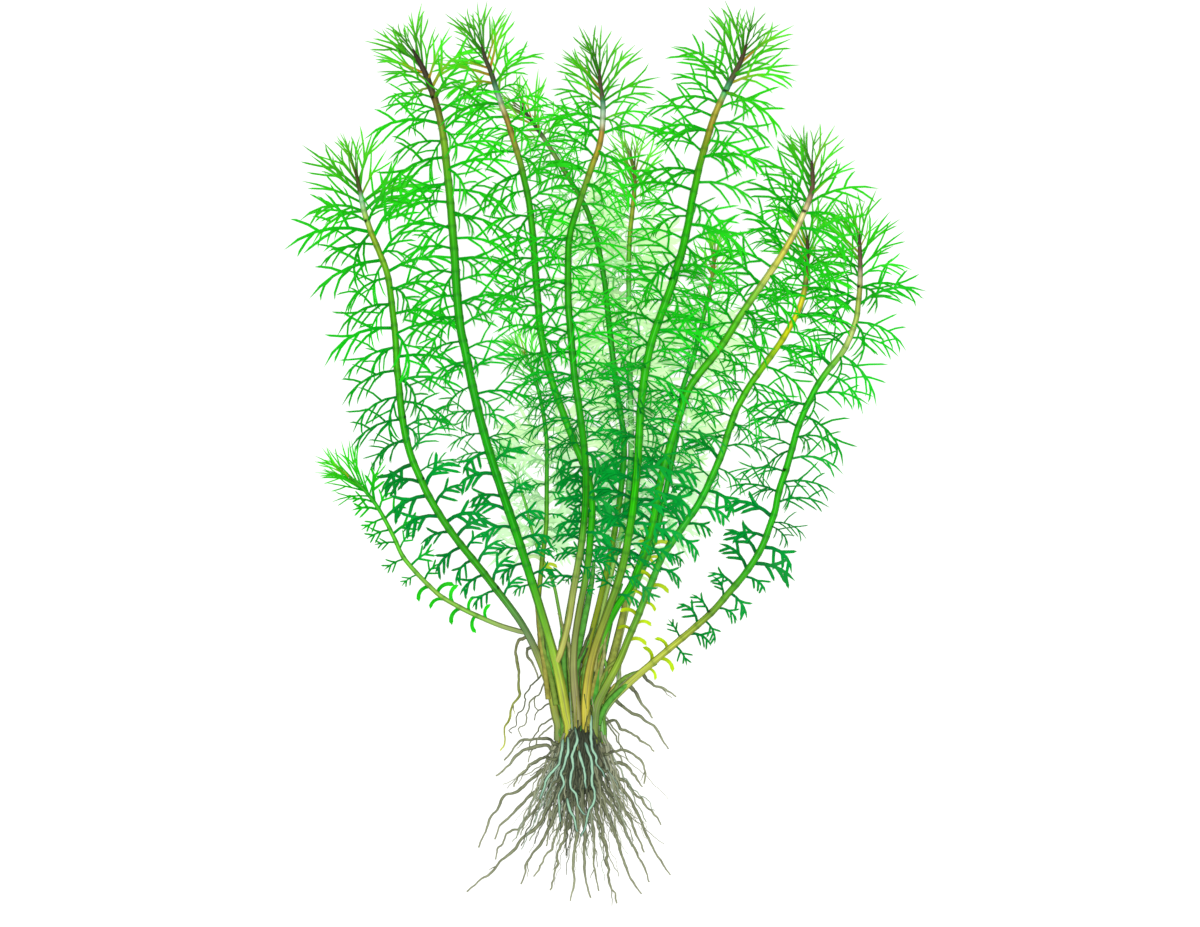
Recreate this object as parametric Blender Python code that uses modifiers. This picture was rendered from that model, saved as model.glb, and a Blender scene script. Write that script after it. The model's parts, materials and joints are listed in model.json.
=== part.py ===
"""Water milfoil: one uprooted clump lying on a flat surface, leafy shoots to +Y, roots to -Y.

Units are metres and +Z is up. The origin is on the surface, under the middle of the clump.
"""

import itertools
import math
import random
from typing import NamedTuple

import bmesh
import bpy
from mathutils import Vector
from mathutils.bvhtree import BVHTree

# The clump. Its routes are drawn on a grid whose step is GRID, with y running down the grid.
CLUMP_LENGTH = 0.404
GRID_STEPS_LONG = 898
GRID = CLUMP_LENGTH / GRID_STEPS_LONG
GRID_MIDDLE = (603.0, 459.0)
CLUMP_HALF_WIDTH = 0.1413
GAP = 0.0003
WELD = 0.00001
SHARP_ANGLE = math.radians(50)
CURVE_STEPS = 12
DIRECTION_REACH = 0.002

# Leaves. A full leaf is LEAF_LENGTH, and leaves shrink towards the roots.
LEAF_LENGTH = 0.034
LEAF_SHARE_BY_Y = (
    (0.150, 1.0), (0.060, 0.95), (0.010, 0.82), (-0.020, 0.70), (-0.045, 0.56), (-0.070, 0.38),
)
LEAF_SHARE_RANGE = (0.9, 1.06)
BUD_WHORLS = (0.004, 0.012, 0.023)
WHORL_SPACING = 0.0145
LOW_WHORL_SPACING = 0.0165
LOW_ZONE_Y = 0.0
WHORL_BAND = 0.0013
BLADE_WIDTH = 0.0056
BLADE_THICKNESS = 0.0008
BROAD_FROM_COSINE = 0.7
SIDE_LEAVES = (8.0, 172.0)
FRONT_AND_BACK_LEAVES = (68.0, 248.0)
SIDE_LEAVES_TURNED = (-14.0, 194.0)
FRONT_AND_BACK_LEAVES_TURNED = (112.0, 292.0)
# Degrees from the stem's tip direction at a leaf's foot and at its tip, by distance from the stem's tip.
SPREAD_BY_AGE = (
    (0.0, 16.0, 28.0), (0.010, 45.0, 62.0), (0.020, 74.0, 92.0), (0.060, 84.0, 104.0), (0.25, 88.0, 114.0),
)
LENGTH_BY_AGE = ((0.0, 0.42), (0.010, 0.78), (0.019, 1.0))
# What a leaf tries in order, to grow clear of what is there: shares of its length, turns and extra spread.
SHARES_TRIED = (1.0, 0.85, 0.7, 0.55, 0.42)
TURNS_TRIED = (0, 12, -12, 24, -24, 38, -38)
SPREADS_TRIED = (0, -10, 10)
# The faces of a broad leaf and of a plain spike, as corner numbers: four at the foot, four at the
# middle and the tip.
LEAF_FACES = (
    (0, 1, 5, 4), (1, 2, 6, 5), (2, 3, 7, 6), (3, 0, 4, 7),
    (4, 5, 8), (5, 6, 8), (6, 7, 8), (7, 4, 8), (3, 2, 1, 0),
)
SPIKE_FACES = ((0, 1, 4), (1, 2, 4), (2, 3, 4), (3, 0, 4), (3, 2, 1, 0))
# A leaf is tested this much larger. Against its own shoot's other leaves it is tested from a share of its
# length on, because the leaves of one whorl meet at the stem.
ROOM = GAP * 1.2
ROOM_AMONG_OWN = GAP * 0.3
BLADE_CLEAR_SHARE = 0.22
SPIKE_CLEAR_SHARE = 0.30

# Stems. The rise shares are where a stem starts and ends its climb, as shares of its length from the foot.
STEM_TAPER_BY_AGE = ((0.0, 0.22), (0.006, 0.45), (0.020, 0.66), (0.045, 0.82), (0.110, 1.0))
BARE_STEM_STEP = 0.014
STRAIGHT_FOOT = 0.003
RISE_SHARES = (0.04, 0.44)
FALL_SHARES = (0.58, 1.0)
SEAT_LEAD_IN = 0.005
JITTER_DEGREES = 7.0

# Root crown, a turned knot along Y. Its profile is the distance down from its top and the share of width.
CROWN_TOP = -0.1255
CROWN_MIDDLE_X = -0.0099
CROWN_MIDDLE_Z = 0.0110
CROWN_HALF_WIDTH = 0.0125
CROWN_FLATNESS = 0.80
CROWN_PROFILE = (
    (0.0, 0.0), (0.0, 1.0), (0.0035, 1.07), (0.0095, 1.0), (0.0175, 0.80), (0.0235, 0.50), (0.0275, 0.0),
)
CROWN_SIDES = 14
CROWN_LUMPS = 0.0005
CROWN_LUMP_COUNT = 5
CROWN_LUMP_TWIST = 700.0
CROWN_HEART_DOWN = 0.0105

# Roots.
ROOT_STEP = 0.0065
ROOT_FOOT_RADIUS = 0.00062
ROOT_TIP_RADIUS = 0.00025
THICK_ROOT_RADIUS = 0.00095
THICK_ROOT_TIP_HEIGHT = 0.0140
ROOT_LEAD_OUT = 0.0016
ROOT_DROP = 1.25
ROOT_THINNING = 1.2
ROOT_REST_MARGIN = 0.0002


class Shoot(NamedTuple):
    """One shoot. Heights are the stem's centre over the floor at its foot, half way and at its tip."""

    name: str
    stem_width: float
    vigour: float
    heights: tuple
    bare_below_y: float
    colour: tuple
    route: tuple
    seat: tuple | None = None
    forks_from: str | None = None


class Root(NamedTuple):
    """One root. lift is its slope up or down where it leaves its carrier, in degrees."""

    carrier: str
    lift: float
    route: tuple
    thick: bool = False


MID_GREEN = (0.045, 0.36, 0.02)
DEEP_GREEN = (0.02, 0.27, 0.015)
PALE_GREEN = (0.16, 0.46, 0.07)
YELLOW_GREEN = (0.33, 0.45, 0.03)
OLIVE = (0.17, 0.21, 0.09)
MINT = (0.36, 0.62, 0.42)
CROWN_BROWN = (0.05, 0.06, 0.035)

SHOOTS = (
    Shoot(
        "edge_left_shoot", 0.0032, 1.12, (0.0110, 0.0170, 0.0150), -0.070, MID_GREEN,
        ((354.5, 168), (356.5, 178), (360.3, 196), (363, 209.5), (367, 222), (371, 233.5), (375.5, 244),
         (380, 255), (385, 268), (388, 280), (390, 295), (392, 312), (394, 329), (395.3, 346), (396, 364),
         (397.8, 381), (399.3, 398), (400.8, 411), (403, 426), (406.5, 442.5), (411.4, 459), (418.3, 475),
         (425.5, 491), (434.5, 507.5), (445, 524), (456.5, 540), (469.3, 556), (482.6, 572.5),
         (495.2, 589), (507.7, 605), (519.5, 621.5), (528.8, 637.5), (536.6, 654), (543.5, 671),
         (551, 694), (555, 715)),
        seat=(-0.0203, 0.0110),
    ),
    Shoot(
        "tall_left_shoot", 0.0038, 0.82, (0.0163, 0.0310, 0.0180), -0.066, MID_GREEN,
        ((412, 48), (424, 70.5), (430, 86), (435.5, 101.5), (439.3, 116.5), (442.3, 132), (444.5, 147),
         (446, 162.5), (449.3, 193), (451.9, 224), (454.4, 254.5), (456.5, 288), (460.2, 326.5),
         (465.5, 352), (470.7, 378), (476.3, 403), (482.7, 428.5), (495, 470), (520, 545), (545, 625),
         (556, 664), (562, 692), (566, 715)),
        seat=(-0.0154, 0.0163),
    ),
    Shoot(
        "tall_mid_left_shoot", 0.0031, 0.76, (0.0163, 0.0340, 0.0200), -0.052, MID_GREEN,
        ((481.5, 43), (484.5, 56), (490.4, 70.5), (495.3, 86), (500.3, 101.5), (506, 116.5), (511, 132),
         (515.6, 147), (520.2, 162.5), (523.8, 178), (527.2, 193), (529.9, 208.5), (533.2, 239),
         (535.4, 270), (537.9, 301), (540, 326.5), (544.5, 352), (551, 378), (559.5, 403), (569, 429),
         (576.5, 448), (583, 463), (589, 481), (591.8, 500), (592, 515), (590.5, 535), (588.3, 561),
         (584.5, 585), (579.5, 610), (575.5, 635), (574, 650), (573.5, 670), (575, 695), (577, 715)),
        seat=(-0.0116, 0.0163),
    ),
    Shoot(
        "centre_shoot", 0.0031, 0.76, (0.0196, 0.0440, 0.0240), -0.064, DEEP_GREEN,
        ((599, 68), (600.5, 86), (602.9, 101.5), (602.9, 116.5), (601.8, 132), (598.8, 147),
         (593.3, 162.5), (582.7, 193), (572.6, 224), (569.5, 239), (568.3, 254.5), (568.3, 301),
         (570.2, 326.5), (574.7, 377.5), (578.5, 403), (584, 446), (585.5, 469), (585.7, 490),
         (585.2, 505), (583.5, 527), (580.5, 550), (576.5, 573), (572.5, 596), (569, 619), (566.7, 630),
         (563.8, 642), (559.9, 655)),
        forks_from="tall_left_shoot",
    ),
    Shoot(
        "tall_right_shoot", 0.0035, 0.92, (0.0163, 0.0460, 0.0220), -0.060, MID_GREEN,
        ((747, 43), (742.7, 56), (739, 64.5), (734, 74), (729.8, 82), (721.6, 99), (714.3, 116),
         (708.8, 133.5), (703.8, 150.5), (699, 168), (695.4, 185), (691.6, 202), (689, 219.5),
         (685.4, 236.5), (681.3, 254), (675.8, 271), (670.8, 288), (654, 334), (646, 366), (642, 395),
         (640, 418), (638.5, 446), (636.5, 474), (633.5, 502), (629.5, 530), (624.5, 558), (617.5, 584),
         (609, 608), (601, 630), (595, 648), (590, 668), (587, 688), (585.5, 706)),
        seat=(-0.0077, 0.0163),
    ),
    Shoot(
        "cream_right_shoot", 0.0033, 0.82, (0.0110, 0.0380, 0.0240), -0.060, PALE_GREEN,
        ((812, 160), (813, 182), (810, 198), (799, 224), (789, 243), (777.6, 261.5), (765.3, 279.5),
         (752.7, 297.5), (740.2, 316), (729.2, 334), (717, 352), (699, 374), (688, 391), (679, 417),
         (670, 446), (662, 474), (656.5, 502), (651, 530), (642, 558), (631, 586), (617, 607), (606, 630),
         (598, 655), (593, 685), (591, 712)),
        seat=(-0.0058, 0.0110),
    ),
    Shoot(
        "yellow_right_shoot", 0.0031, 0.72, (0.0163, 0.0280, 0.0200), -0.088, YELLOW_GREEN,
        ((808, 235), (808, 252), (807.3, 268), (805.8, 285), (803, 298), (798.5, 311), (792, 323.5),
         (786, 334), (779, 345), (771, 356), (755, 378), (748, 388.5), (741.8, 399.5), (736, 410.5),
         (728.5, 432), (722.5, 452), (712, 477), (704, 494), (696.5, 507.5), (689, 518), (682, 528),
         (675, 538), (668, 548), (661.5, 558), (653.5, 578), (645, 598.5), (637, 619), (628.5, 639),
         (620.5, 659), (612, 676), (604.5, 690), (597, 706)),
        seat=(-0.0038, 0.0163),
    ),
    Shoot(
        "leaning_shoot", 0.0026, 0.62, (0.0110, 0.0260, 0.0120), -0.055, DEEP_GREEN,
        ((521, 105), (534, 123), (547, 142), (569, 177.5), (578, 193), (586.5, 208.5), (592, 224),
         (596.5, 239), (600, 254.5), (603, 272), (605.5, 288), (609.5, 328), (617, 391), (624, 440),
         (621, 490), (612, 547), (600, 600), (589, 645), (581, 690), (578, 715)),
        seat=(-0.0115, 0.0110),
    ),
    Shoot(
        "straight_back_shoot", 0.0026, 0.65, (0.0055, 0.0125, 0.0110), -0.055, DEEP_GREEN,
        ((634, 160), (635, 180), (633, 205), (629, 257), (630, 372), (631, 458), (624, 520), (612, 570),
         (600, 620), (590, 670), (585, 715)),
        seat=(-0.0085, 0.0055),
    ),
    Shoot(
        "small_right_shoot", 0.0025, 0.60, (0.0055, 0.0150, 0.0120), -0.052, DEEP_GREEN,
        ((716, 252), (711, 286), (702, 324), (692, 363), (684, 385), (679, 415), (675, 446), (669.5, 474),
         (664, 502), (657.5, 530), (648, 558), (636, 586), (627.5, 607), (622, 630), (616.5, 653),
         (609, 680), (601, 700), (596, 715)),
        seat=(-0.0035, 0.0055),
    ),
    Shoot(
        "edge_right_shoot", 0.0030, 0.80, (0.0110, 0.0170, 0.0140), -0.094, PALE_GREEN,
        ((860.3, 233), (861, 252), (861.3, 270), (860.8, 288), (859.3, 303), (857.8, 316), (854.5, 327),
         (850.5, 338), (844.5, 350), (837, 360), (829, 369.5), (818.2, 385), (812, 397), (806.5, 408),
         (802, 419), (797.5, 431), (794, 444), (790.5, 456.5), (786, 472), (781.5, 485), (778.3, 497),
         (775.8, 510.5), (770, 527.5), (763.5, 545), (754.3, 561.5), (744.7, 575), (736.6, 585),
         (727.8, 595), (713.5, 611.5), (697.5, 626), (684, 637.5), (663.6, 654.5), (640, 674.5),
         (624.8, 688), (612.7, 700), (605.5, 709.5), (601.8, 718)),
        seat=(0.0, 0.0110),
    ),
    Shoot(
        "short_left_shoot", 0.0022, 0.55, (0.0055, 0.0110, 0.0100), -0.050, PALE_GREEN,
        ((524, 352), (533.6, 375), (540.1, 398.5), (544.3, 422), (546.6, 446), (546.5, 481), (546.3, 517),
         (545.3, 535), (542.5, 555), (540, 580), (538, 607), (539, 630), (543, 650), (553, 685),
         (562, 715)),
        seat=(-0.0170, 0.0055),
    ),
    Shoot(
        "seedling_shoot", 0.0016, 0.42, (0.0055, 0.0075, 0.0070), -0.040, PALE_GREEN,
        ((507, 458), (515, 470), (519.5, 487), (525.4, 505), (530.9, 528.5), (538.4, 552), (546, 567),
         (551.2, 578.5), (554.7, 590), (557, 601.5), (561, 624.5), (567, 670), (573, 715)),
        seat=(-0.0128, 0.0055),
    ),
    Shoot(
        "low_side_shoot", 0.0023, 0.62, (0.0120, 0.0100, 0.0080), -0.073, PALE_GREEN,
        ((347, 476), (358, 485), (368, 496), (376.5, 507.5), (386, 524), (394, 540), (401.7, 556.5),
         (414.7, 572.5), (431, 589), (441, 597.5), (455.5, 606), (470, 613.5), (497.6, 625.4), (517.7, 631.7)),
        forks_from="edge_left_shoot",
    ),
)

CROWN = "root_crown"
ROOTS = (
    Root("edge_left_shoot", -20, ((518, 642), (515, 655), (518, 668), (518, 685), (519, 696), (512, 707),
                                  (509, 719), (504, 731), (504, 744), (500, 753))),
    Root("edge_left_shoot", 10, ((527, 650), (527, 657), (532, 665), (536, 673), (538, 681))),
    Root(CROWN, 20, ((548, 740), (535, 741), (522, 742), (514, 749), (504, 763))),
    Root(CROWN, -15, ((546, 747), (529, 750), (515, 758), (508, 768), (495, 778))),
    Root(CROWN, 22, ((543, 759), (533, 765), (521, 775), (513, 789))),
    Root(CROWN, -30, ((549, 768), (533, 779), (519, 792), (503, 799), (497, 811), (488, 823), (485, 834),
                      (477, 850))),
    Root(CROWN, 5, ((551, 778), (540, 790), (528, 799), (519, 809), (508, 820), (499, 829), (494, 842))),
    Root(CROWN, 35, ((553, 786), (541, 804), (529, 818), (518, 831), (507, 836), (499, 850), (494, 862))),
    Root(CROWN, -25, ((556, 792), (547, 812), (536, 830), (522, 840), (515, 851), (500, 864), (489, 877),
                      (479, 883), (466, 895))),
    Root(CROWN, 10, ((561, 799), (552, 823), (541, 845), (531, 858), (525, 868), (525, 876), (520, 887))),
    Root(CROWN, -30, ((566, 803), (561, 825), (550, 852), (541, 866), (534, 880))),
    Root(CROWN, 6, ((571, 806), (568, 830), (559, 852), (556, 868), (554, 880), (549, 893))),
    Root(CROWN, -10, ((577, 808), (577, 835), (573, 863), (574, 885), (570, 904))),
    Root(CROWN, 16, ((583, 808), (585, 835), (584, 860), (586, 885), (591, 901))),
    Root(CROWN, -30, ((589, 807), (594, 835), (594, 868), (599, 894))),
    Root(CROWN, 0, ((594, 804), (602, 832), (607, 857), (608, 876), (612, 892), (618, 906))),
    Root(CROWN, -25, ((599, 800), (611, 824), (619, 848), (625, 867), (633, 885), (642, 897))),
    Root(CROWN, 24, ((603, 796), (617, 816), (630, 843), (643, 867), (650, 885))),
    Root(CROWN, 0, ((606, 789), (620, 804), (631, 823), (637, 838), (645, 855))),
    Root(CROWN, -30, ((609, 781), (625, 794), (637, 814), (649, 842), (660, 862), (671, 878))),
    Root(CROWN, 25, ((611, 774), (625, 784), (637, 798), (648, 809), (655, 818), (662, 827))),
    Root(CROWN, -10, ((613, 764), (623, 766), (634, 775), (637, 783), (643, 789))),
    Root(CROWN, 25, ((613, 753), (624, 752), (635, 757), (643, 766), (646, 776), (644, 786))),
    Root("edge_right_shoot", -10, ((614, 722), (622, 730), (632, 736), (641, 741), (648, 748), (655, 753))),
    Root("edge_right_shoot", 10, ((622, 707), (631, 714), (639, 717), (646, 723), (655, 728), (660, 737),
                                  (669, 751))),
    Root("edge_right_shoot", -10, ((648, 682), (655, 687), (662, 689), (670, 694), (677, 698))),
    Root("edge_right_shoot", -15, ((636, 694), (640, 702), (645, 709), (649, 714), (653, 720))),
    Root(CROWN, 62, ((566, 780), (562, 798), (560, 815)), thick=True),
    Root(CROWN, 68, ((575, 786), (577, 802), (580, 818)), thick=True),
    Root(CROWN, 60, ((592, 780), (594, 797), (590, 812), (587, 824)), thick=True),
)


def at(grid_point: tuple, z: float) -> Vector:
    """The place in metres of a point on the drawing grid, at height z."""
    return Vector(((grid_point[0] - GRID_MIDDLE[0]) * GRID, (GRID_MIDDLE[1] - grid_point[1]) * GRID, z))


def smooth(share: float) -> float:
    """0 to 1 with a gentle start and end."""
    share = min(max(share, 0.0), 1.0)
    return share * share * (3.0 - 2.0 * share)


def share_of(value: float, span: tuple) -> float:
    """How far the value is along the span."""
    return (value - span[0]) / (span[1] - span[0])


def read(rows: tuple, value: float) -> list:
    """The columns of a table of rows, read between rows by the first column."""
    rising = sorted(rows)
    if value <= rising[0][0]:
        return list(rising[0][1:])
    for low, high in zip(rising, rising[1:]):
        if value <= high[0]:
            share = share_of(value, (low[0], high[0]))
            return [a + (b - a) * share for a, b in zip(low[1:], high[1:])]
    return list(rising[-1][1:])


def curve_through(points: list) -> list:
    """A smooth curve through the points, as many short steps."""
    ends = [points[0] * 2 - points[1], *points, points[-1] * 2 - points[-2]]
    made = []
    for a, b, c, d in zip(ends, ends[1:], ends[2:], ends[3:]):
        for step in range(CURVE_STEPS):
            t = step / CURVE_STEPS
            made.append(0.5 * (2 * b + (c - a) * t + (2 * a - 5 * b + 4 * c - d) * t * t
                               + (3 * b - a - 3 * c + d) * t * t * t))
    return [*made, points[-1]]


class Route:
    """A smooth curve that is read by distance from its first point."""

    def __init__(self, points: list) -> None:
        self.points = points
        self.reach = [0.0]
        for a, b in zip(points, points[1:]):
            self.reach.append(self.reach[-1] + (b - a).length)
        self.length = self.reach[-1]

    def place(self, distance: float) -> Vector:
        """The point at this distance."""
        distance = min(max(distance, 0.0), self.length)
        for i in range(1, len(self.reach)):
            if distance <= self.reach[i]:
                share = (distance - self.reach[i - 1]) / max(self.reach[i] - self.reach[i - 1], 1e-9)
                return self.points[i - 1].lerp(self.points[i], share)
        return self.points[-1].copy()

    def towards_start(self, distance: float) -> Vector:
        """The direction back to the first point."""
        nearer = self.place(distance - DIRECTION_REACH)
        return (nearer - self.place(distance + DIRECTION_REACH)).normalized()


def stem_route(shoot: Shoot) -> Route:
    """The stem's centre line from its tip to its foot."""
    flat = [at(point, 0.0) for point in shoot.route]
    if shoot.seat:
        foot = Vector((shoot.seat[0], CROWN_TOP + GAP, 0.0))
        flat += [foot + Vector((0.0, SEAT_LEAD_IN, 0.0)), foot]
    line = Route(curve_through(flat))
    foot_height, half_height, tip_height = shoot.heights
    for i, distance in enumerate(line.reach):
        share = 1.0 - distance / line.length
        z = foot_height + (half_height - foot_height) * smooth(share_of(share, RISE_SHARES))
        z += (tip_height - half_height) * smooth(share_of(share, FALL_SHARES))
        line.points[i].z = z
    return Route(line.points)


def stem_radius(shoot: Shoot, distance: float) -> float:
    """The stem's radius at this distance from the tip."""
    return shoot.stem_width / 2 * read(STEM_TAPER_BY_AGE, distance)[0]


def whorl_distances(shoot: Shoot, route: Route) -> list:
    """How far from the tip each ring of leaves sits."""
    found = list(BUD_WHORLS)
    distance = BUD_WHORLS[-1] + WHORL_SPACING
    while route.place(distance).y > shoot.bare_below_y and distance < route.length - WHORL_SPACING:
        found.append(distance)
        distance += WHORL_SPACING if route.place(distance).y > LOW_ZONE_Y else LOW_WHORL_SPACING
    return found


def new_object(name: str, data: bpy.types.ID, home: bpy.types.Collection) -> bpy.types.Object:
    """A new object in the collection."""
    made = bpy.data.objects.new(name, data)
    home.objects.link(made)
    return made


def finish(name: str, colour: tuple, roughness: float) -> bpy.types.Material:
    """A plain plant finish."""
    material = bpy.data.materials.new(name)
    material.use_nodes = True
    shader = material.node_tree.nodes["Principled BSDF"]
    shader.inputs["Base Color"].default_value = (*colour, 1.0)
    shader.inputs["Roughness"].default_value = roughness
    shader.inputs["Metallic"].default_value = 0.0
    return material


def tube(
    name: str, points: list, radii: list, roundness: int, home: bpy.types.Collection
) -> bpy.types.Object:
    """A closed round tube along the points, whose radius follows the list."""
    curve = bpy.data.curves.new(name, "CURVE")
    curve.dimensions = "3D"
    curve.twist_mode = "Z_UP"
    curve.bevel_depth = max(radii)
    curve.bevel_resolution = roundness
    curve.use_fill_caps = True
    spline = curve.splines.new("POLY")
    spline.points.add(len(points) - 1)
    for knot, place, radius in zip(spline.points, points, radii):
        knot.co = (*place, 1.0)
        knot.radius = radius / max(radii)
    return new_object(name, curve, home)


def as_mesh(source: bpy.types.Object, home: bpy.types.Collection) -> bpy.types.Object:
    """The object remade as one welded mesh, with the source removed."""
    name = source.name
    graph = bpy.context.evaluated_depsgraph_get()
    mesh = bpy.data.meshes.new_from_object(source.evaluated_get(graph))
    place = source.matrix_world.copy()
    bpy.data.objects.remove(source)
    work = bmesh.new()
    work.from_mesh(mesh)
    bmesh.ops.remove_doubles(work, verts=work.verts, dist=WELD)
    bmesh.ops.recalc_face_normals(work, faces=work.faces)
    work.to_mesh(mesh)
    work.free()
    mesh.transform(place)
    mesh.name = name
    return new_object(name, mesh, home)


class Obstacles:
    """What a new leaf has to stay clear of."""

    def __init__(self) -> None:
        self.stems = []
        self.leaves = []

    def add_stem(self, owner: str, mesh: bpy.types.Mesh) -> None:
        """Remembers a finished solid."""
        corners = [v.co.copy() for v in mesh.vertices]
        faces = [tuple(p.vertices) for p in mesh.polygons]
        self.stems.append((owner, BVHTree.FromPolygons(corners, faces)))

    def add_leaf(self, owner: str, corners: list, faces: list) -> None:
        """Remembers a leaf."""
        middle = sum(corners, Vector()) / len(corners)
        reach = max((c - middle).length for c in corners)
        self.leaves.append((owner, middle, reach, BVHTree.FromPolygons(corners, faces)))

    def hit(self, owner: str, roomy: tuple, bare: tuple) -> bool:
        """Whether a leaf would touch another solid, or another leaf of its own shoot."""
        corners, faces = roomy
        tree = BVHTree.FromPolygons(corners, faces)
        if any(name != owner and stem.overlap(tree) for name, stem in self.stems):
            return True
        own = BVHTree.FromPolygons(*bare)
        middle = sum(corners, Vector()) / len(corners)
        reach = max((c - middle).length for c in corners)
        for name, other_middle, other_reach, other in self.leaves:
            if (other_middle - middle).length < reach + other_reach:
                if other.overlap(own if name == owner else tree):
                    return True
        return False


def rectangle(middle: Vector, along: Vector, across: Vector, size: tuple, order: list) -> list:
    """Four corners of a rectangle, each on the side that order gives it."""
    return [middle + along * (size[0] / 2 * u) + across * (size[1] / 2 * v) for u, v in order]


class LeafShape:
    """Where one leaf's middle and tip lie, and how broad it is."""

    def __init__(
        self, foot: Vector, up: Vector, out: Vector, spread: tuple, length: float, broad: bool
    ) -> None:
        first, last = (math.radians(angle) for angle in spread)
        self.along = up
        self.foot = foot
        start = up * math.cos(first) + out * math.sin(first)
        end = up * math.cos(last) + out * math.sin(last)
        self.middle = foot + start * (length * 0.5)
        self.tip = self.middle + end * (length * 0.5)
        self.width = BLADE_WIDTH * length / LEAF_LENGTH if broad else 0.0
        self.middle.z = max(self.middle.z, BLADE_THICKNESS + self.width * abs(up.z))
        self.tip.z = max(self.tip.z, 0.0)
        self.tip.x = min(max(self.tip.x, -CLUMP_HALF_WIDTH), CLUMP_HALF_WIDTH)
        direction = (self.tip - foot).normalized()
        self.blade = (up - direction * up.dot(direction)).normalized()
        self.thin = direction.cross(self.blade).normalized()

    def solid(self, base: list, order: list, room: float, clear_of_stem: bool) -> tuple:
        """Corners and faces of the leaf, grown by room on every side."""
        if clear_of_stem:
            share = BLADE_CLEAR_SHARE if self.width else SPIKE_CLEAR_SHARE
            base = [corner.lerp(self.middle if self.width else self.tip, share) for corner in base]
        tip = self.tip + (self.tip - self.foot).normalized() * room
        if not self.width:
            heart = sum(base, Vector()) / 4
            base = [corner + (corner - heart).normalized() * room for corner in base]
            return [*base, tip], SPIKE_FACES
        size = (BLADE_THICKNESS + 2 * room, self.width + 2 * room)
        return [*base, *rectangle(self.middle, self.thin, self.blade, size, order), tip], LEAF_FACES


def grow(work: bmesh.types.BMesh, facet: bmesh.types.BMFace, shape: LeafShape, order: list) -> None:
    """Draws one stem facet out into the leaf."""
    if shape.width:
        out = bmesh.ops.extrude_discrete_faces(work, faces=[facet])["faces"][0]
        places = rectangle(shape.middle, shape.thin, shape.blade, (BLADE_THICKNESS, shape.width), order)
        for corner, place in zip(out.verts, places):
            corner.co = place
        facet = out
    poked = bmesh.ops.poke(work, faces=[facet])
    poked["verts"][0].co = shape.tip


def corner_sides(facet: bmesh.types.BMFace, shape: LeafShape) -> list:
    """Which side of the blade each facet corner belongs to."""
    heart = facet.calc_center_median()
    sides = []
    for corner in facet.verts:
        off = corner.co - heart
        sides.append((math.copysign(1, off.dot(shape.thin)), math.copysign(1, off.dot(shape.blade))))
    return sides


def facets_of_band(work: bmesh.types.BMesh, centre: Vector, axes: tuple, radius: float) -> dict:
    """The stem's facets at a whorl, each with its angle about the stem in degrees."""
    side, front, up = axes
    found = {}
    for facet in work.faces:
        off = facet.calc_center_median() - centre
        if len(facet.verts) == 4 and off.length < radius * 1.3 + GAP and abs(off.dot(up)) < WHORL_BAND * 0.3:
            found[facet] = math.degrees(math.atan2(off.dot(front), off.dot(side))) % 360.0
    return found


def add_leaves(
    shoot: Shoot, route: Route, stem: bpy.types.Object, taken: Obstacles, rng: random.Random
) -> None:
    """Grows the whorls of one shoot out of its stem's narrow bands of facets."""
    work = bmesh.new()
    work.from_mesh(stem.data)
    for number, distance in enumerate(whorl_distances(shoot, route)):
        centre = route.place(distance)
        up = route.towards_start(distance)
        side = up.cross(Vector((0.0, 0.0, 1.0))).normalized()
        front = side.cross(up)
        angles = facets_of_band(work, centre, (side, front, up), stem_radius(shoot, distance))
        turned = number % 2
        sides = SIDE_LEAVES_TURNED if turned else SIDE_LEAVES
        others = FRONT_AND_BACK_LEAVES_TURNED if turned else FRONT_AND_BACK_LEAVES
        age_length = read(LENGTH_BY_AGE, distance)[0]
        size = LEAF_LENGTH * shoot.vigour * age_length * read(LEAF_SHARE_BY_Y, centre.y)[0]
        spread = read(SPREAD_BY_AGE, distance)
        for wanted in (*sides, *others):
            if not angles:
                break
            facet = min(angles, key=lambda f: abs((angles[f] - wanted + 180.0) % 360.0 - 180.0))
            angles.pop(facet)
            wanted += rng.uniform(-JITTER_DEGREES, JITTER_DEGREES)
            lies_flat = abs(math.cos(math.radians(wanted))) > BROAD_FROM_COSINE
            broad = lies_flat and distance > BUD_WHORLS[-1]
            base = [v.co.copy() for v in facet.verts]
            foot = sum(base, Vector()) / 4
            length = size * rng.uniform(*LEAF_SHARE_RANGE)
            for share, turn, more in itertools.product(SHARES_TRIED, TURNS_TRIED, SPREADS_TRIED):
                angle = math.radians(wanted + turn)
                out = side * math.cos(angle) + front * math.sin(angle)
                shape = LeafShape(foot, up, out, (spread[0] + more, spread[1] + more), length * share, broad)
                order = corner_sides(facet, shape)
                roomy = shape.solid(base, order, ROOM, False)
                bare = shape.solid(base, order, ROOM_AMONG_OWN, True)
                if not taken.hit(shoot.name, roomy, bare):
                    grow(work, facet, shape, order)
                    taken.add_leaf(shoot.name, *shape.solid(base, order, 0.0, False))
                    break
    bmesh.ops.recalc_face_normals(work, faces=work.faces)
    work.to_mesh(stem.data)
    work.free()


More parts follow.
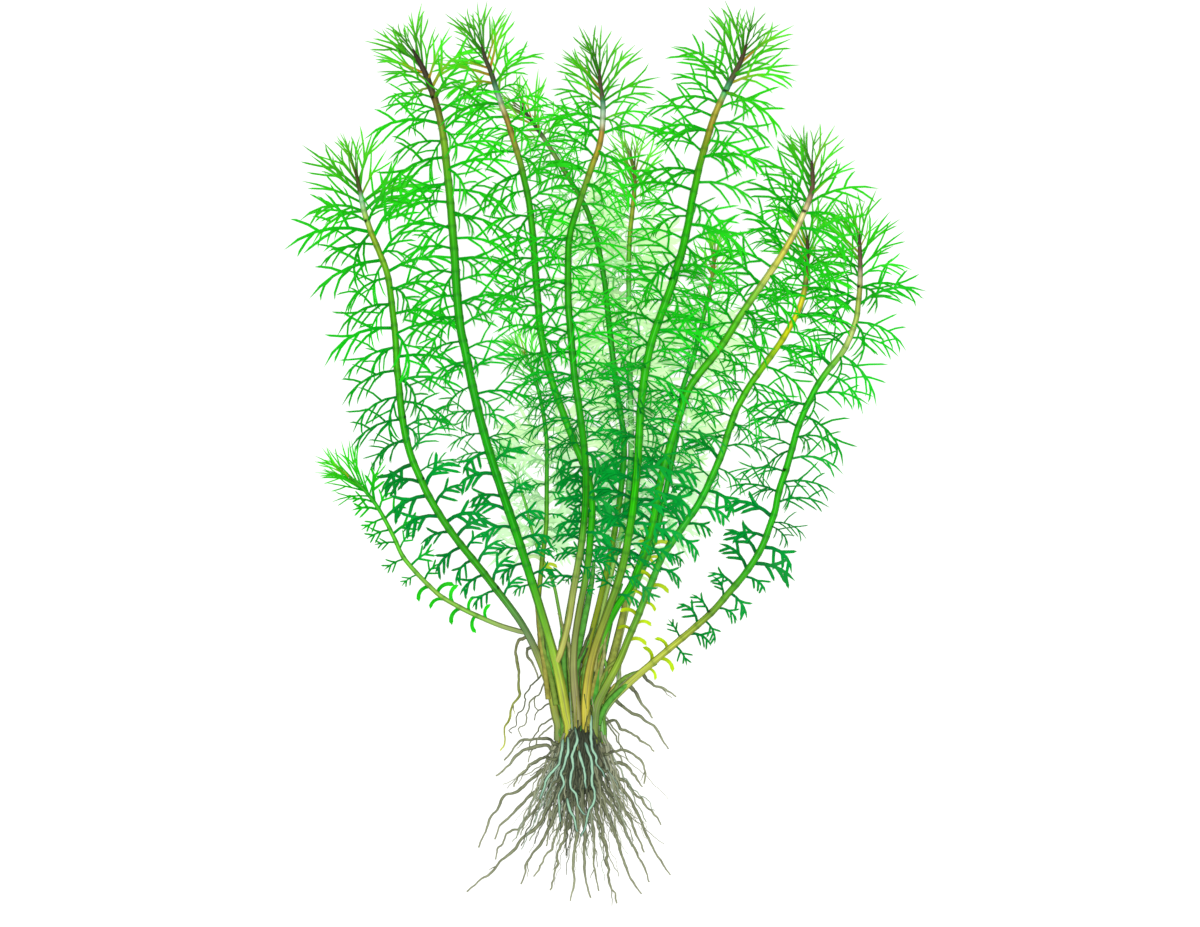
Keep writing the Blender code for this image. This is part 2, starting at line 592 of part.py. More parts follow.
def build_stem(shoot: Shoot, route: Route, home: bpy.types.Collection) -> bpy.types.Object:
    """The bare stem, with a narrow band of facets wherever a whorl of leaves will grow."""
    stops = [0.0]
    for distance in whorl_distances(shoot, route):
        stops += [distance - WHORL_BAND / 2, distance + WHORL_BAND / 2]
    while stops[-1] < route.length - BARE_STEM_STEP:
        stops.append(stops[-1] + BARE_STEM_STEP)
    if route.length - stops[-1] < STRAIGHT_FOOT * 2:
        stops.pop()
    stops += [route.length - STRAIGHT_FOOT, route.length]
    points = [route.place(stop) for stop in stops]
    radii = [stem_radius(shoot, stop) for stop in stops]
    return as_mesh(tube(shoot.name, points, radii, 1, home), home)


def build_crown(home: bpy.types.Collection) -> bpy.types.Object:
    """The knot of old wood between stems and roots, turned about Y and pressed a little flat."""
    mesh = bpy.data.meshes.new(CROWN)
    outline = [(CROWN_HALF_WIDTH * share, 0.0, -down) for down, share in CROWN_PROFILE]
    mesh.from_pydata(outline, [(i, i + 1) for i in range(len(outline) - 1)], [])
    turned = new_object(CROWN, mesh, home)
    screw = turned.modifiers.new("turn", "SCREW")
    screw.steps = CROWN_SIDES
    screw.render_steps = CROWN_SIDES
    screw.use_merge_vertices = True
    screw.merge_threshold = 0.0001
    bpy.context.view_layer.update()
    crown = as_mesh(turned, home)
    for corner in crown.data.vertices:
        x, y, z = corner.co
        if z < 0:
            around = math.atan2(y, x)
            wave = math.sin(CROWN_LUMP_COUNT * around + z * CROWN_LUMP_TWIST)
            swell = 1.0 + CROWN_LUMPS / CROWN_HALF_WIDTH * wave
            x, y = x * swell, y * swell
        corner.co = (CROWN_MIDDLE_X + x, CROWN_TOP + z, CROWN_MIDDLE_Z + y * CROWN_FLATNESS)
    work = bmesh.new()
    work.from_mesh(crown.data)
    bmesh.ops.recalc_face_normals(work, faces=work.faces)
    work.to_mesh(crown.data)
    work.free()
    return crown


def root_route(root: Root, carriers: dict) -> Route:
    """The root's centre line, from just off its carrier to a tip that lies on the floor."""
    first = at(root.route[0], 0.0)
    carrier = carriers[root.carrier]
    if root.carrier == CROWN:
        heart = Vector((CROWN_MIDDLE_X, CROWN_TOP - CROWN_HEART_DOWN, CROWN_MIDDLE_Z))
        aim = first - heart
        aim.z = 0.0
        aim = aim.normalized() + Vector((0.0, 0.0, math.tan(math.radians(root.lift))))
        place, normal, _, _ = carrier.ray_cast(heart, aim.normalized())
    else:
        first.z = CROWN_MIDDLE_Z
        place, normal, _, _ = carrier.find_nearest(first)
        normal = (normal + Vector((0.0, 0.0, math.tan(math.radians(root.lift))))).normalized()
    radius = THICK_ROOT_RADIUS if root.thick else ROOT_FOOT_RADIUS
    start = place + normal * (GAP + radius * 0.2)
    lead = start + normal * ROOT_LEAD_OUT
    onward = [at(point, 0.0) for point in (root.route[1:] if root.thick else root.route)]
    line = Route([start, *curve_through([lead, *onward])])
    floor = ROOT_TIP_RADIUS * 1.5
    for i, distance in enumerate(line.reach):
        if distance <= ROOT_LEAD_OUT:
            continue
        share = (distance - ROOT_LEAD_OUT) / (line.length - ROOT_LEAD_OUT)
        lying = max(floor, radius * (1.0 - share) + ROOT_REST_MARGIN)
        rest = THICK_ROOT_TIP_HEIGHT if root.thick else lying
        line.points[i].z = lead.z + (rest - lead.z) * smooth(share * ROOT_DROP)
    return Route(line.points)


def build_root(name: str, root: Root, carriers: dict, home: bpy.types.Collection) -> bpy.types.Object:
    """A tapering root."""
    route = root_route(root, carriers)
    foot = THICK_ROOT_RADIUS if root.thick else ROOT_FOOT_RADIUS
    count = max(4, round(route.length / ROOT_STEP))
    stops = [0.0] + [ROOT_LEAD_OUT + (route.length - ROOT_LEAD_OUT) * i / count for i in range(count + 1)]
    points = [route.place(stop) for stop in stops]
    radii = [foot + (ROOT_TIP_RADIUS - foot) * (stop / route.length) ** ROOT_THINNING for stop in stops]
    return tube(name, points, radii, 0, home)


def main() -> None:
    """Builds the clump."""
    for leftover in list(bpy.data.objects):
        bpy.data.objects.remove(leftover)
    home = bpy.data.collections.new("water_milfoil")
    bpy.context.scene.collection.children.link(home)
    bpy.context.view_layer.update()

    crown = build_crown(home)
    crown.data.materials.append(finish("crown wood", CROWN_BROWN, 0.85))
    taken = Obstacles()
    taken.add_stem(CROWN, crown.data)

    stems = {}
    for shoot in SHOOTS:
        route = stem_route(shoot)
        stem = build_stem(shoot, route, home)
        stem.data.materials.clear()
        stem.data.materials.append(finish(shoot.name + " skin", shoot.colour, 0.45))
        stems[shoot.name] = (route, stem)
        taken.add_stem(shoot.name, stem.data)

    carriers = {owner: tree for owner, tree in taken.stems}
    for number, root in enumerate(ROOTS, start=1):
        made = build_root(f"root_{number:02d}", root, carriers, home)
        skin = finish(made.name + " skin", MINT if root.thick else OLIVE, 0.6)
        made.data.materials.append(skin)

    for number, shoot in enumerate(SHOOTS):
        route, stem = stems[shoot.name]
        add_leaves(shoot, route, stem, taken, random.Random(number + 1))
        stem.data.shade_smooth()
        stem.data.set_sharp_from_angle(angle=SHARP_ANGLE)
    crown.data.shade_smooth()


main()
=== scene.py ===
"""Water milfoil: the dressed model of one uprooted clump that lies flat on a pale floor.

Leafy shoots fan out to +Y and bare roots to -Y. Lengths are metres, and +Z points up off the floor.
The stems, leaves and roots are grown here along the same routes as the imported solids.
"""

import json
import logging
import math
import random
from dataclasses import dataclass, field
from enum import Enum
from math import cos, radians, sin

import bmesh
import bpy
import numpy as np
from mathutils import Matrix, Vector, noise
from mathutils.bvhtree import BVHTree

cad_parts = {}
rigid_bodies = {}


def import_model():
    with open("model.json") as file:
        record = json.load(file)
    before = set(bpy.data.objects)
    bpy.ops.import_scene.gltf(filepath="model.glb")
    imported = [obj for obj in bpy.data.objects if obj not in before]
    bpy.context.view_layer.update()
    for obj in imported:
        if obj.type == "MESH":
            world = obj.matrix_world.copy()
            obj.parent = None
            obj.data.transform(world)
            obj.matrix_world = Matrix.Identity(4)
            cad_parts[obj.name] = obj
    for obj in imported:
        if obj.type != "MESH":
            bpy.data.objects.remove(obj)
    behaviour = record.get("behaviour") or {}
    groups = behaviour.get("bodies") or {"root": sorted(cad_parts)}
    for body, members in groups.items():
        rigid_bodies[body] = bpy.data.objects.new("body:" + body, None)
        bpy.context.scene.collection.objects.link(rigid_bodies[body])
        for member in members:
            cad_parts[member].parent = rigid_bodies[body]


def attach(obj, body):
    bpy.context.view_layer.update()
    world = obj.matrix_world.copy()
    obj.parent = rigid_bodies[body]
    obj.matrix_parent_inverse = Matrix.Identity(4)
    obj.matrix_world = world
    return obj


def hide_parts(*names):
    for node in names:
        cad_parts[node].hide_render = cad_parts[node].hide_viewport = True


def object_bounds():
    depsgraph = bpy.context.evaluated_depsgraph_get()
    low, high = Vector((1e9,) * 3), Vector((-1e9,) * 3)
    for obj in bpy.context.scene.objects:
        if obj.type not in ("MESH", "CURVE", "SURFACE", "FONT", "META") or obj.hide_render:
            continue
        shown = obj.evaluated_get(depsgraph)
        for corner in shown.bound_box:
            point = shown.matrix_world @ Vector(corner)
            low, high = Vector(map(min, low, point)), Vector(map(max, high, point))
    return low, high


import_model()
CAD_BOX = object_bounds()
LOG = logging.getLogger("water_milfoil")

Colour = tuple[int, int, int]
Stops = tuple[tuple[float, int, int, int], ...]
GridPoint = tuple[float, float]
Span = tuple[float, float]
Dice = random.Random
Rows = np.ndarray
Socket = bpy.types.NodeSocket
Material = bpy.types.Material
Piece = bpy.types.Object

# The drawing grid that the routes are written on, with y running down it.
GRID = 0.404 / 898.0
GRID_MIDDLE = (603.0, 459.0)
CURVE_STEPS = 12
SIGHT = 0.002
BODY = "root"
CROWN = "root_crown"
UPWARD = (0.0, 0.0, 1.0)
FLAT = (1, 1, 0)
TINY = 1e-9

# How roots and fibres wander: step, the length over which it starts, and strength and pace of each wave.
WANDER_STEP = 0.0011
WANDER_START = 0.006
WANDER_SHARE = 0.6
WANDER_WAVES = ((1.0, 1.0), (0.6, 1.7), (0.4, 2.9))

# Leaf rules shared by every shoot: lengths, angles and spacing by distance from the stem's tip.
LEAF_LENGTH = 0.034
LEAF_SHARE_BY_RISE = (
    (-0.070, 0.32), (-0.045, 0.42), (-0.020, 0.53), (0.010, 0.71), (0.060, 0.90), (0.150, 1.0),
)
LENGTH_BY_AGE = ((0.0, 0.50), (0.004, 0.63), (0.008, 0.76), (0.012, 0.86), (0.018, 0.95), (0.030, 1.0))
SPREAD_BY_AGE = (
    (0.0, 15.0), (0.004, 26.0), (0.008, 36.0), (0.012, 46.0), (0.016, 56.0), (0.021, 66.0), (0.028, 79.0),
    (0.05, 88.0), (0.25, 92.0),
)
SECOND_SPREAD_BY_AGE = (
    (0.0, 16.0), (0.004, 28.0), (0.008, 40.0), (0.012, 53.0), (0.016, 68.0), (0.022, 88.0), (0.04, 106.0),
    (0.25, 114.0),
)
AGE_BY_RISE = ((-0.060, 0.44), (0.000, 0.34), (0.060, 0.13), (0.160, 0.0))
BUD_WHORLS = (
    0.0006, 0.0029, 0.0055, 0.0084, 0.0116, 0.0151, 0.0191, 0.0238, 0.0294, 0.0360, 0.0436, 0.0524,
)
WHORL_SPACING = 0.0104
LOW_WHORL_SPACING = 0.0086
BUD_LENGTH = 0.016
STRAP_LENGTHS = (0.0070, 0.0098)
STANDING_AZIMUTH = 90.0
STANDING_SPREAD = 82.0
ARCH_TOP = 0.0440
FAR_ZONE = (-0.040, 0.120)
FAR_AZIMUTHS = (-12.0, 192.0, -36.0, 216.0, -64.0)
FAR_LENGTHS = (0.018, 0.029)
STEM_TAPER_BY_AGE = ((0.0, 0.30), (0.006, 0.62), (0.020, 0.76), (0.045, 0.85), (0.110, 1.0))
STEM_SIDES = 14
STEM_STEP = 0.0014
STEM_OVERLAP = 0.002
STEM_ROOM = 0.0006
BARE_TOP = 0.012
NODE_LENGTH = 0.0012
NODE_SWELL = 0.10
NODE_SWELL_LENGTH = 0.0020
FOOT_SWELL = 0.20
FRONT_SEAT = 0.014
# Past its foot a front stem bends over the crown: each step down the crown and its share of the width.
FOOT_STEPS = ((0.0014, 0.80), (0.0028, 0.56), (0.0042, 0.24))

# The ways in which a leaf may turn and lean, in degrees, to keep off another stem, in order.
WAYS_ASIDE = ((0, 0), (14, 0), (-14, 0), (0, -12), (0, 12), (28, 8), (-28, 8))
SAMPLES_ALONG = np.array([[0.35], [0.6], [0.85], [1.0]])
STAGGER = 0.0042

# How the foliage lies: its lowest points are eased up off the floor, and its highest held down.
FLOOR_EASE = 0.0022
CEILING = 0.0745
CEILING_BAND = 0.003
EDGE_MARGIN = 0.0012

CROWN_TOP = -0.1255
CROWN_MIDDLE = Vector((-0.0099, -0.1360, 0.0110))
CROWN_PROFILE = (
    (0.0, 0.94), (0.0035, 1.07), (0.0095, 1.0), (0.0175, 0.80), (0.0235, 0.50), (0.0275, 0.0),
)
CROWN_HALF_WIDTH = 0.0125
CROWN_FLATNESS = 0.80
CROWN_HEART = 0.0105
# Below the crown the root mat falls away, and above it the stems' feet lie lower than its front.
MAT_FALL = 0.0105
MAT_FALL_FROM = 0.010
MAT_FALL_OVER = 0.040
FEET_FALL = 0.0036
FEET_FALL_OVER = 0.005


def paint(colour: Colour) -> tuple[float, float, float, float]:
    """Turn a 0-255 display colour into the linear colour that shaders take.

    Args:
        colour: Red, green and blue from 0 to 255.

    Returns:
        Linear red, green, blue and an alpha of one.
    """
    linear = [
        share / 12.92 if share <= 0.04045 else ((share + 0.055) / 1.055) ** 2.4
        for share in (part / 255.0 for part in colour)
    ]
    return (linear[0], linear[1], linear[2], 1.0)


def smooth(share: float) -> float:
    """Return 0 to 1 with a gentle start and end."""
    share = min(max(share, 0.0), 1.0)
    return share * share * (3.0 - 2.0 * share)


def read_table(rows: tuple[tuple[float, float], ...], value: float) -> float:
    """Return a two-column table's second number at a value of its first."""
    return float(np.interp(value, *zip(*rows)))


def on_grid(points: tuple[GridPoint, ...]) -> Rows:
    """Place drawing points on the floor.

    Args:
        points: Places on the drawing grid.

    Returns:
        Rows of x, y and z in metres.
    """
    across, down = np.array(points, float).T
    x = (across - GRID_MIDDLE[0]) * GRID
    y = (GRID_MIDDLE[1] - down) * GRID
    return np.column_stack([x, y, np.zeros(len(x))])


def unit(vector: Rows) -> Rows:
    """Return the vector at a length of one."""
    return vector / max(np.linalg.norm(vector), TINY)


def reach_along(points: Rows) -> Rows:
    """Return each point's distance from the first, along the line."""
    steps = np.linalg.norm(np.diff(points, axis=0), axis=1)
    return np.concatenate([[0.0], np.cumsum(steps)])


def curve_through(points: Rows) -> Rows:
    """Draw a smooth curve through the points as many short steps.

    Args:
        points: Rows of x, y and z.

    Returns:
        The curve's own points, the given ones among them.
    """
    ends = np.vstack([2 * points[0] - points[1], points, 2 * points[-1] - points[-2]])
    t = (np.arange(CURVE_STEPS) / CURVE_STEPS)[:, None]
    made = []
    for a, b, c, d in zip(ends, ends[1:], ends[2:], ends[3:]):
        bend = (2 * a - 5 * b + 4 * c - d) * t * t
        twist = (3 * b - a - 3 * c + d) * t**3
        made.append(0.5 * (2 * b + (c - a) * t + bend + twist))
    return np.vstack([*made, points[-1:]])


class Route:
    """A curve that is read by distance from its first point."""

    def __init__(self, points: Rows) -> None:
        """Measure the curve.

        Args:
            points: Rows of x, y and z along it.
        """
        self.points = points
        self.reach = reach_along(points)
        self.length = float(self.reach[-1])

    def places(self, distances: Rows) -> Rows:
        """Return the points at these distances, as rows."""
        return np.column_stack([np.interp(distances, self.reach, self.points[:, i]) for i in range(3)])

    def place(self, distance: float) -> Rows:
        """Return the point at this distance."""
        return self.places(np.array([distance]))[0]

    def towards_start(self, distance: float) -> Rows:
        """Return the direction back to the first point."""
        return unit(self.place(distance - SIGHT) - self.place(distance + SIGHT))


def wiggled(line: Rows, swing: float, wave: float, rng: Dice) -> Rows:
    """Bend a line from side to side.

    Args:
        line: Its points.
        swing: How far it swings to each side.
        wave: The length of one swing there and back.
        rng: The source of chance.

    Returns:
        The line's points at even steps, swung.
    """
    route = Route(line)
    count = max(6, int(route.length / WANDER_STEP))
    distances = np.linspace(0.0, route.length, count)
    places = route.places(distances)
    ahead = np.gradient(places, axis=0)
    ahead /= np.maximum(np.linalg.norm(ahead, axis=1)[:, None], TINY)
    across = np.column_stack([-ahead[:, 1], ahead[:, 0], np.zeros(count)])
    share = np.clip(distances / WANDER_START, 0.0, 1.0) * swing
    turn = math.tau * distances / wave
    sway = sum(
        strength * np.sin(speed * turn + rng.uniform(0.0, math.tau))
        for strength, speed in WANDER_WAVES
    )
    return places + across * (share * sway * WANDER_SHARE)[:, None]


class NodeBench:
    """A node tree with one short call that adds, sets and links its nodes."""

    def __init__(self, tree: bpy.types.NodeTree) -> None:
        """Work on this tree."""
        self.tree = tree

    def add(
        self, kind: str, inputs: dict[int | str, object] | None = None, **settings: object
    ) -> bpy.types.Node:
        """Add a node, set its properties, then set or link its inputs.

        Args:
            kind: The node's type.
            inputs: Input numbers or names, each with a socket to link or a plain value.
            settings: The node's own properties.

        Returns:
            The node.
        """
        node = self.tree.nodes.new(kind)
        for key, value in settings.items():
            setattr(node, key, value)
        for key, value in (inputs or {}).items():
            named = [s for s in node.inputs if s.name == key and s.enabled]
            socket = named[0] if named else node.inputs[key]
            if isinstance(value, Socket):
                self.tree.links.new(value, socket)
            else:
                socket.default_value = value
        return node


class Shade(NodeBench):
    """One material's node tree, with short calls for the nodes that the finishes share."""

    def __init__(self, name: str, roughness: float, gloss: float) -> None:
        """Start a material.

        Args:
            name: The material's name.
            roughness: How dull the surface is, on the shader's own socket.
            gloss: The specular level, on the shader's own socket.
        """
        self.material = bpy.data.materials.new(name)
        self.material.use_nodes = True
        super().__init__(self.material.node_tree)
        self.shader = self.tree.nodes["Principled BSDF"]
        self.shader.inputs["Roughness"].default_value = roughness
        self.shader.inputs["Specular IOR Level"].default_value = gloss

    def number(self, attribute: str) -> Socket:
        """Return the number that the mesh holds under this attribute name."""
        return self.add("ShaderNodeAttribute", attribute_name=attribute).outputs["Fac"]

    def where(self, kind: str) -> Socket:
        """Return the object's own coordinates: Object for places, Normal for directions."""
        return self.add("ShaderNodeTexCoord").outputs[kind]

    def part(self, vector: Socket, axis: int) -> Socket:
        """Return one number of a vector, 0 for x to 2 for z."""
        return self.add("ShaderNodeSeparateXYZ", {0: vector}).outputs[axis]

    def math(self, operation: str, first: object, second: object = 0.0) -> Socket:
        """Return the result of a Math node on sockets or plain numbers."""
        return self.add("ShaderNodeMath", {0: first, 1: second}, operation=operation).outputs[0]

    def ramp(self, factor: Socket, stops: Stops) -> Socket:
        """Return a colour that changes along the factor.

        Args:
            factor: A number from 0 to 1.
            stops: Places along it, each with its red, green and blue.

        Returns:
            The colour socket.
        """
        node = self.add("ShaderNodeValToRGB", {"Fac": factor})
        keys = node.color_ramp.elements
        while len(keys) < len(stops):
            keys.new(0.5)
        for key, stop in zip(keys, stops):
            key.position = stop[0]
        for key, stop in zip(keys, stops):
            key.color = paint(stop[1:])
        return node.outputs["Color"]

    def span(self, value: Socket, low: float, high: float, first: float, last: float) -> Socket:
        """Return the value read so that low becomes first and high becomes last, clamped."""
        ends = {"From Min": low, "From Max": high, "To Min": first, "To Max": last}
        return self.add("ShaderNodeMapRange", {"Value": value, **ends}).outputs["Result"]

    def blend(self, factor: object, first: object, second: object, how: str = "MIX") -> Socket:
        """Return two colours mixed by a factor.

        Args:
            factor: Socket or number, 0 gives the first colour.
            first: Socket or display colour.
            second: Socket or display colour.
            how: The mix's blend type.

        Returns:
            The colour socket.
        """
        first, second = (paint(c) if isinstance(c, tuple) else c for c in (first, second))
        inputs = {"Factor": factor, "A": first, "B": second}
        node = self.add("ShaderNodeMix", inputs, data_type="RGBA", blend_type=how)
        return next(s for s in node.outputs if s.enabled)

    def shaded(self, colour: Socket, grey: Socket) -> Socket:
        """Return the colour made darker or lighter by a grey number."""
        return self.blend(1.0, colour, grey, "MULTIPLY")

    def cloud(self, vector: Socket, scale: float, detail: float) -> Socket:
        """Return noise of this fineness and detail at a place."""
        inputs = {"Vector": vector, "Scale": scale, "Detail": detail}
        return self.add("ShaderNodeTexNoise", inputs).outputs["Fac"]

    def speckle(self, scale: float, detail: float, stretch: tuple[float, ...] = (1.0, 1.0, 1.0)) -> Socket:
        """Return noise fixed to the object, so fine per metre, and finer by stretch along x, y and z."""
        turned = self.add("ShaderNodeMapping", {"Vector": self.where("Object"), "Scale": stretch})
        return self.cloud(turned.outputs["Vector"], scale, detail)

    def streaks(self, fine_around: float, fine_along: float) -> Socket:
        """Return noise drawn out along a tube.

        Args:
            fine_around: How fine it is round the tube.
            fine_along: How fine it is along it.

        Returns:
            The number socket.
        """
        ring = self.add("ShaderNodeAttribute", attribute_name="around").outputs["Vector"]
        places = (self.part(ring, 0), self.part(ring, 1), self.number("distance"))
        fineness = (fine_around, fine_around, fine_along)
        drawn = {i: self.math("MULTIPLY", place, fineness[i]) for i, place in enumerate(places)}
        return self.cloud(self.add("ShaderNodeCombineXYZ", drawn).outputs[0], 1.0, 3.0)

    def flank_shade(self, dark: float, reach: float = 0.80, soft: float = 0.65) -> Socket:
        """Return a grey of painted shade: 1 where the surface faces up past reach, and dark where it faces
        aside.
        """
        upward = self.math("ABSOLUTE", self.part(self.where("Normal"), 2))
        return self.span(upward, reach - soft, reach, dark, 1.0)

    def finished(self, colour: Socket, relief: Socket | None = None, depth: float = 0.0) -> Material:
        """Give the shader its colour and relief and return the finished material.

        Args:
            colour: The surface's colour.
            relief: A height pattern.
            depth: How deep the relief is, in metres.

        Returns:
            The material.
        """
        self.tree.links.new(colour, self.shader.inputs["Base Color"])
        if relief is not None:
            bump = self.add("ShaderNodeBump", {"Height": relief, "Distance": depth, "Strength": 0.6})
            self.tree.links.new(bump.outputs["Normal"], self.shader.inputs["Normal"])
        return self.material


@dataclass(frozen=True)
class LeafFinish:
    """Leaf tissue: its colour runs from the stem end to the lobe ends, and changes with the leaf's age."""

    name: str
    stalk_by_age: Stops
    lobe_by_age: Stops
    wash: Colour | None = None
    rust: Colour = (172, 112, 34)
    variety: float = 0.18
    mottle_scale: float = 260.0
    grain_scale: float = 2600.0
    grain_depth: float = 0.00005
    roughness: float = 0.5
    gloss: float = 0.05

    def material(self) -> Material:
        """Build the material.

        Returns:
            The material.
        """
        shade = Shade(self.name, self.roughness, self.gloss)
        age, along, tint = shade.number("age"), shade.number("along"), shade.number("tint")
        past_bud = shade.span(age, 0.06, 0.09, 0.0, 1.0)
        young = shade.math("MULTIPLY", shade.span(age, 0.16, 0.26, 1.0, 0.0), past_bud)
        rusty = shade.math("MULTIPLY", shade.span(tint, 0.62, 0.68, 0.0, 0.85), young)
        stalk = shade.blend(rusty, shade.ramp(age, self.stalk_by_age), self.rust)
        lobe = shade.ramp(age, self.lobe_by_age)
        out = shade.math("SUBTRACT", along, shade.span(age, 0.02, 0.12, 0.42, 0.0))
        mixed = shade.blend(shade.span(out, 0.04, 0.55, 0.0, 1.0), stalk, lobe)
        tinted = shade.shaded(mixed, shade.span(tint, 0.0, 1.0, 1.0 - self.variety, 1.0 + self.variety))
        mottle = shade.span(shade.speckle(self.mottle_scale, 2.0), 0.3, 0.7, 0.93, 1.08)
        tinted = shade.shaded(tinted, mottle)
        if self.wash:
            open_leaf = shade.span(age, 0.2, 0.3, 0.0, 1.0)
            washed = shade.math("MULTIPLY", shade.span(tint, 0.45, 0.70, 0.0, 0.7), open_leaf)
            tinted = shade.blend(washed, tinted, self.wash)
        return shade.finished(tinted, shade.speckle(self.grain_scale, 1.0), self.grain_depth)


@dataclass(frozen=True)
class StemFinish:
    """Stem skin: colours from the tip down, lengthwise lines, painted shade on the flanks and a dark ring at
    each whorl.
    """

    name: str
    colours: Stops
    ring: Colour = (20, 90, 30)
    ring_share: float = 0.4
    bark: Colour = (104, 96, 54)
    patch_scale: float = 120.0
    line_depth: float = 0.00012
    # How dark the painted shade on the stem's sides gets.
    flank_shade: float = 0.62
    roughness: float = 0.42
    gloss: float = 0.08

    def material(self) -> Material:
        """Build the material.

        Returns:
            The material.
        """
        shade = Shade(self.name, self.roughness, self.gloss)
        down = shade.number("down")
        lines = shade.streaks(3.2, 22.0)
        skin = shade.shaded(shade.ramp(down, self.colours), shade.span(lines, 0.36, 0.64, 0.66, 1.24))
        brown = shade.span(shade.streaks(2.1, 14.0), 0.50, 0.62, 0.0, 1.0)
        low = shade.span(down, 0.62, 0.92, 0.10, 0.55)
        skin = shade.blend(shade.math("MULTIPLY", brown, low), skin, self.bark)
        patches = shade.speckle(self.patch_scale, 2.0)
        skin = shade.shaded(skin, shade.span(patches, 0.3, 0.7, 0.90, 1.08))
        skin = shade.blend(shade.math("MULTIPLY", shade.number("node"), self.ring_share), skin, self.ring)
        # Painted shade darkens the skin where it faces aside.
        return shade.finished(shade.shaded(skin, shade.flank_shade(self.flank_shade)), lines, self.line_depth)


@dataclass(frozen=True)
class RootFinish:
    """Root skin: colours from the crown out to the tip, with blotches and painted shade on its flanks."""

    name: str
    colours: Stops
    kinds: Stops | None = None
    # The painted shade on the sides: its darkest grey, the upward facing where it ends, and how softly it
    # fades.
    flank_shade: float = 0.62
    flank_shade_reach: float = 0.80
    flank_shade_soft: float = 0.65
    blotch: Span = (0.78, 1.15)
    blotch_scale: float = 420.0
    blotch_depth: float = 0.00015
    roughness: float = 0.6
    gloss: float = 0.1

    def material(self) -> Material:
        """Build the material.

        Returns:
            The material.
        """
        shade = Shade(self.name, self.roughness, self.gloss)
        tint = shade.number("tint")
        skin = shade.ramp(shade.number("down"), self.colours)
        skin = shade.shaded(skin, shade.span(tint, 0.0, 1.0, 0.8, 1.2))
        if self.kinds:
            skin = shade.blend(0.75, skin, shade.ramp(tint, self.kinds))
        blotches = shade.speckle(self.blotch_scale, 3.0)
        skin = shade.shaded(skin, shade.span(blotches, 0.32, 0.68, *self.blotch))
        # Painted shade darkens the skin where it faces aside.
        skin = shade.shaded(skin, shade.flank_shade(self.flank_shade, self.flank_shade_reach, self.flank_shade_soft))
        return shade.finished(skin, blotches, self.blotch_depth)


@dataclass(frozen=True)
class CrownFinish:
    """Old dark wood of the crown: blackish, with olive and grey-green fibres down its length."""

    name: str = "crown bark"
    dark: Colour = (40, 48, 36)
    fibre: Colour = (110, 114, 76)
    grey: Colour = (112, 134, 114)
    side: Colour = (138, 140, 112)
    side_from: Span = (0.0045, 0.0105)
    fibre_depth: float = 0.0005
    roughness: float = 0.85
    gloss: float = 0.2

    def material(self) -> Material:
        """Build the material.

        Returns:
            The material.
        """
        shade = Shade(self.name, self.roughness, self.gloss)
        fibres = shade.speckle(900.0, 3.0, (1.0, 0.10, 1.0))
        patches = shade.speckle(240.0, 2.0, (1.0, 0.45, 1.0))
        skin = shade.blend(shade.span(fibres, 0.50, 0.66, 0.0, 0.85), self.dark, self.fibre)
        skin = shade.blend(shade.span(patches, 0.56, 0.70, 0.0, 0.7), skin, self.grey)
        off = shade.math("SUBTRACT", shade.part(shade.where("Object"), 0), CROWN_MIDDLE.x)
        off = shade.span(shade.math("ABSOLUTE", off), *self.side_from, 0.0, 0.75)
        skin = shade.blend(off, skin, self.side)
        return shade.finished(skin, fibres, self.fibre_depth)


@dataclass(frozen=True)
class FloorFinish:
    """Plain near-white floor."""

    name: str = "pale floor"
    tone: Colour = (246, 246, 245)
    light: Colour = (249, 249, 248)
    roughness: float = 0.9
    gloss: float = 0.2

    def material(self) -> Material:
        """Build the material."""
        shade = Shade(self.name, self.roughness, self.gloss)
        return shade.finished(shade.blend(shade.speckle(3.0, 2.0), self.tone, self.light))


class GeometryTree(NodeBench):
    """A Geometry Nodes tree with named inputs."""

    def __init__(self, name: str, inputs: dict[str, str]) -> None:
        """Start the tree.

        Args:
            name: The tree's name.
            inputs: Name and socket type of each input between the geometry and the finish.
        """
        super().__init__(bpy.data.node_groups.new(name, "GeometryNodeTree"))
        self.tree.is_modifier = True
        sockets = {"Geometry": "Geometry", **inputs, "Finish": "Material"}
        for label, kind in sockets.items():
            self.tree.interface.new_socket(label, in_out="INPUT", socket_type="NodeSocket" + kind)
        self.tree.interface.new_socket("Geometry", in_out="OUTPUT", socket_type="NodeSocketGeometry")
        self.given = self.add("NodeGroupInput").outputs

    def named(self, attribute: str, kind: str) -> Socket:
        """Return an attribute of the geometry as a field."""
        node = self.add("GeometryNodeInputNamedAttribute", {"Name": attribute}, data_type=kind)
        return next(s for s in node.outputs if s.enabled and s.name == "Attribute")

    def close(self, geometry: Socket) -> bpy.types.NodeTree:
        """Realize the instances, set the finish and link the output.

        Args:
            geometry: What the tree has made.

        Returns:
            The tree.
        """
        real = self.add("GeometryNodeRealizeInstances", {"Geometry": geometry}).outputs[0]
        finish = {"Geometry": real, "Material": self.given["Finish"]}
        self.add("NodeGroupOutput", {0: self.add("GeometryNodeSetMaterial", finish).outputs[0]})
        return self.tree


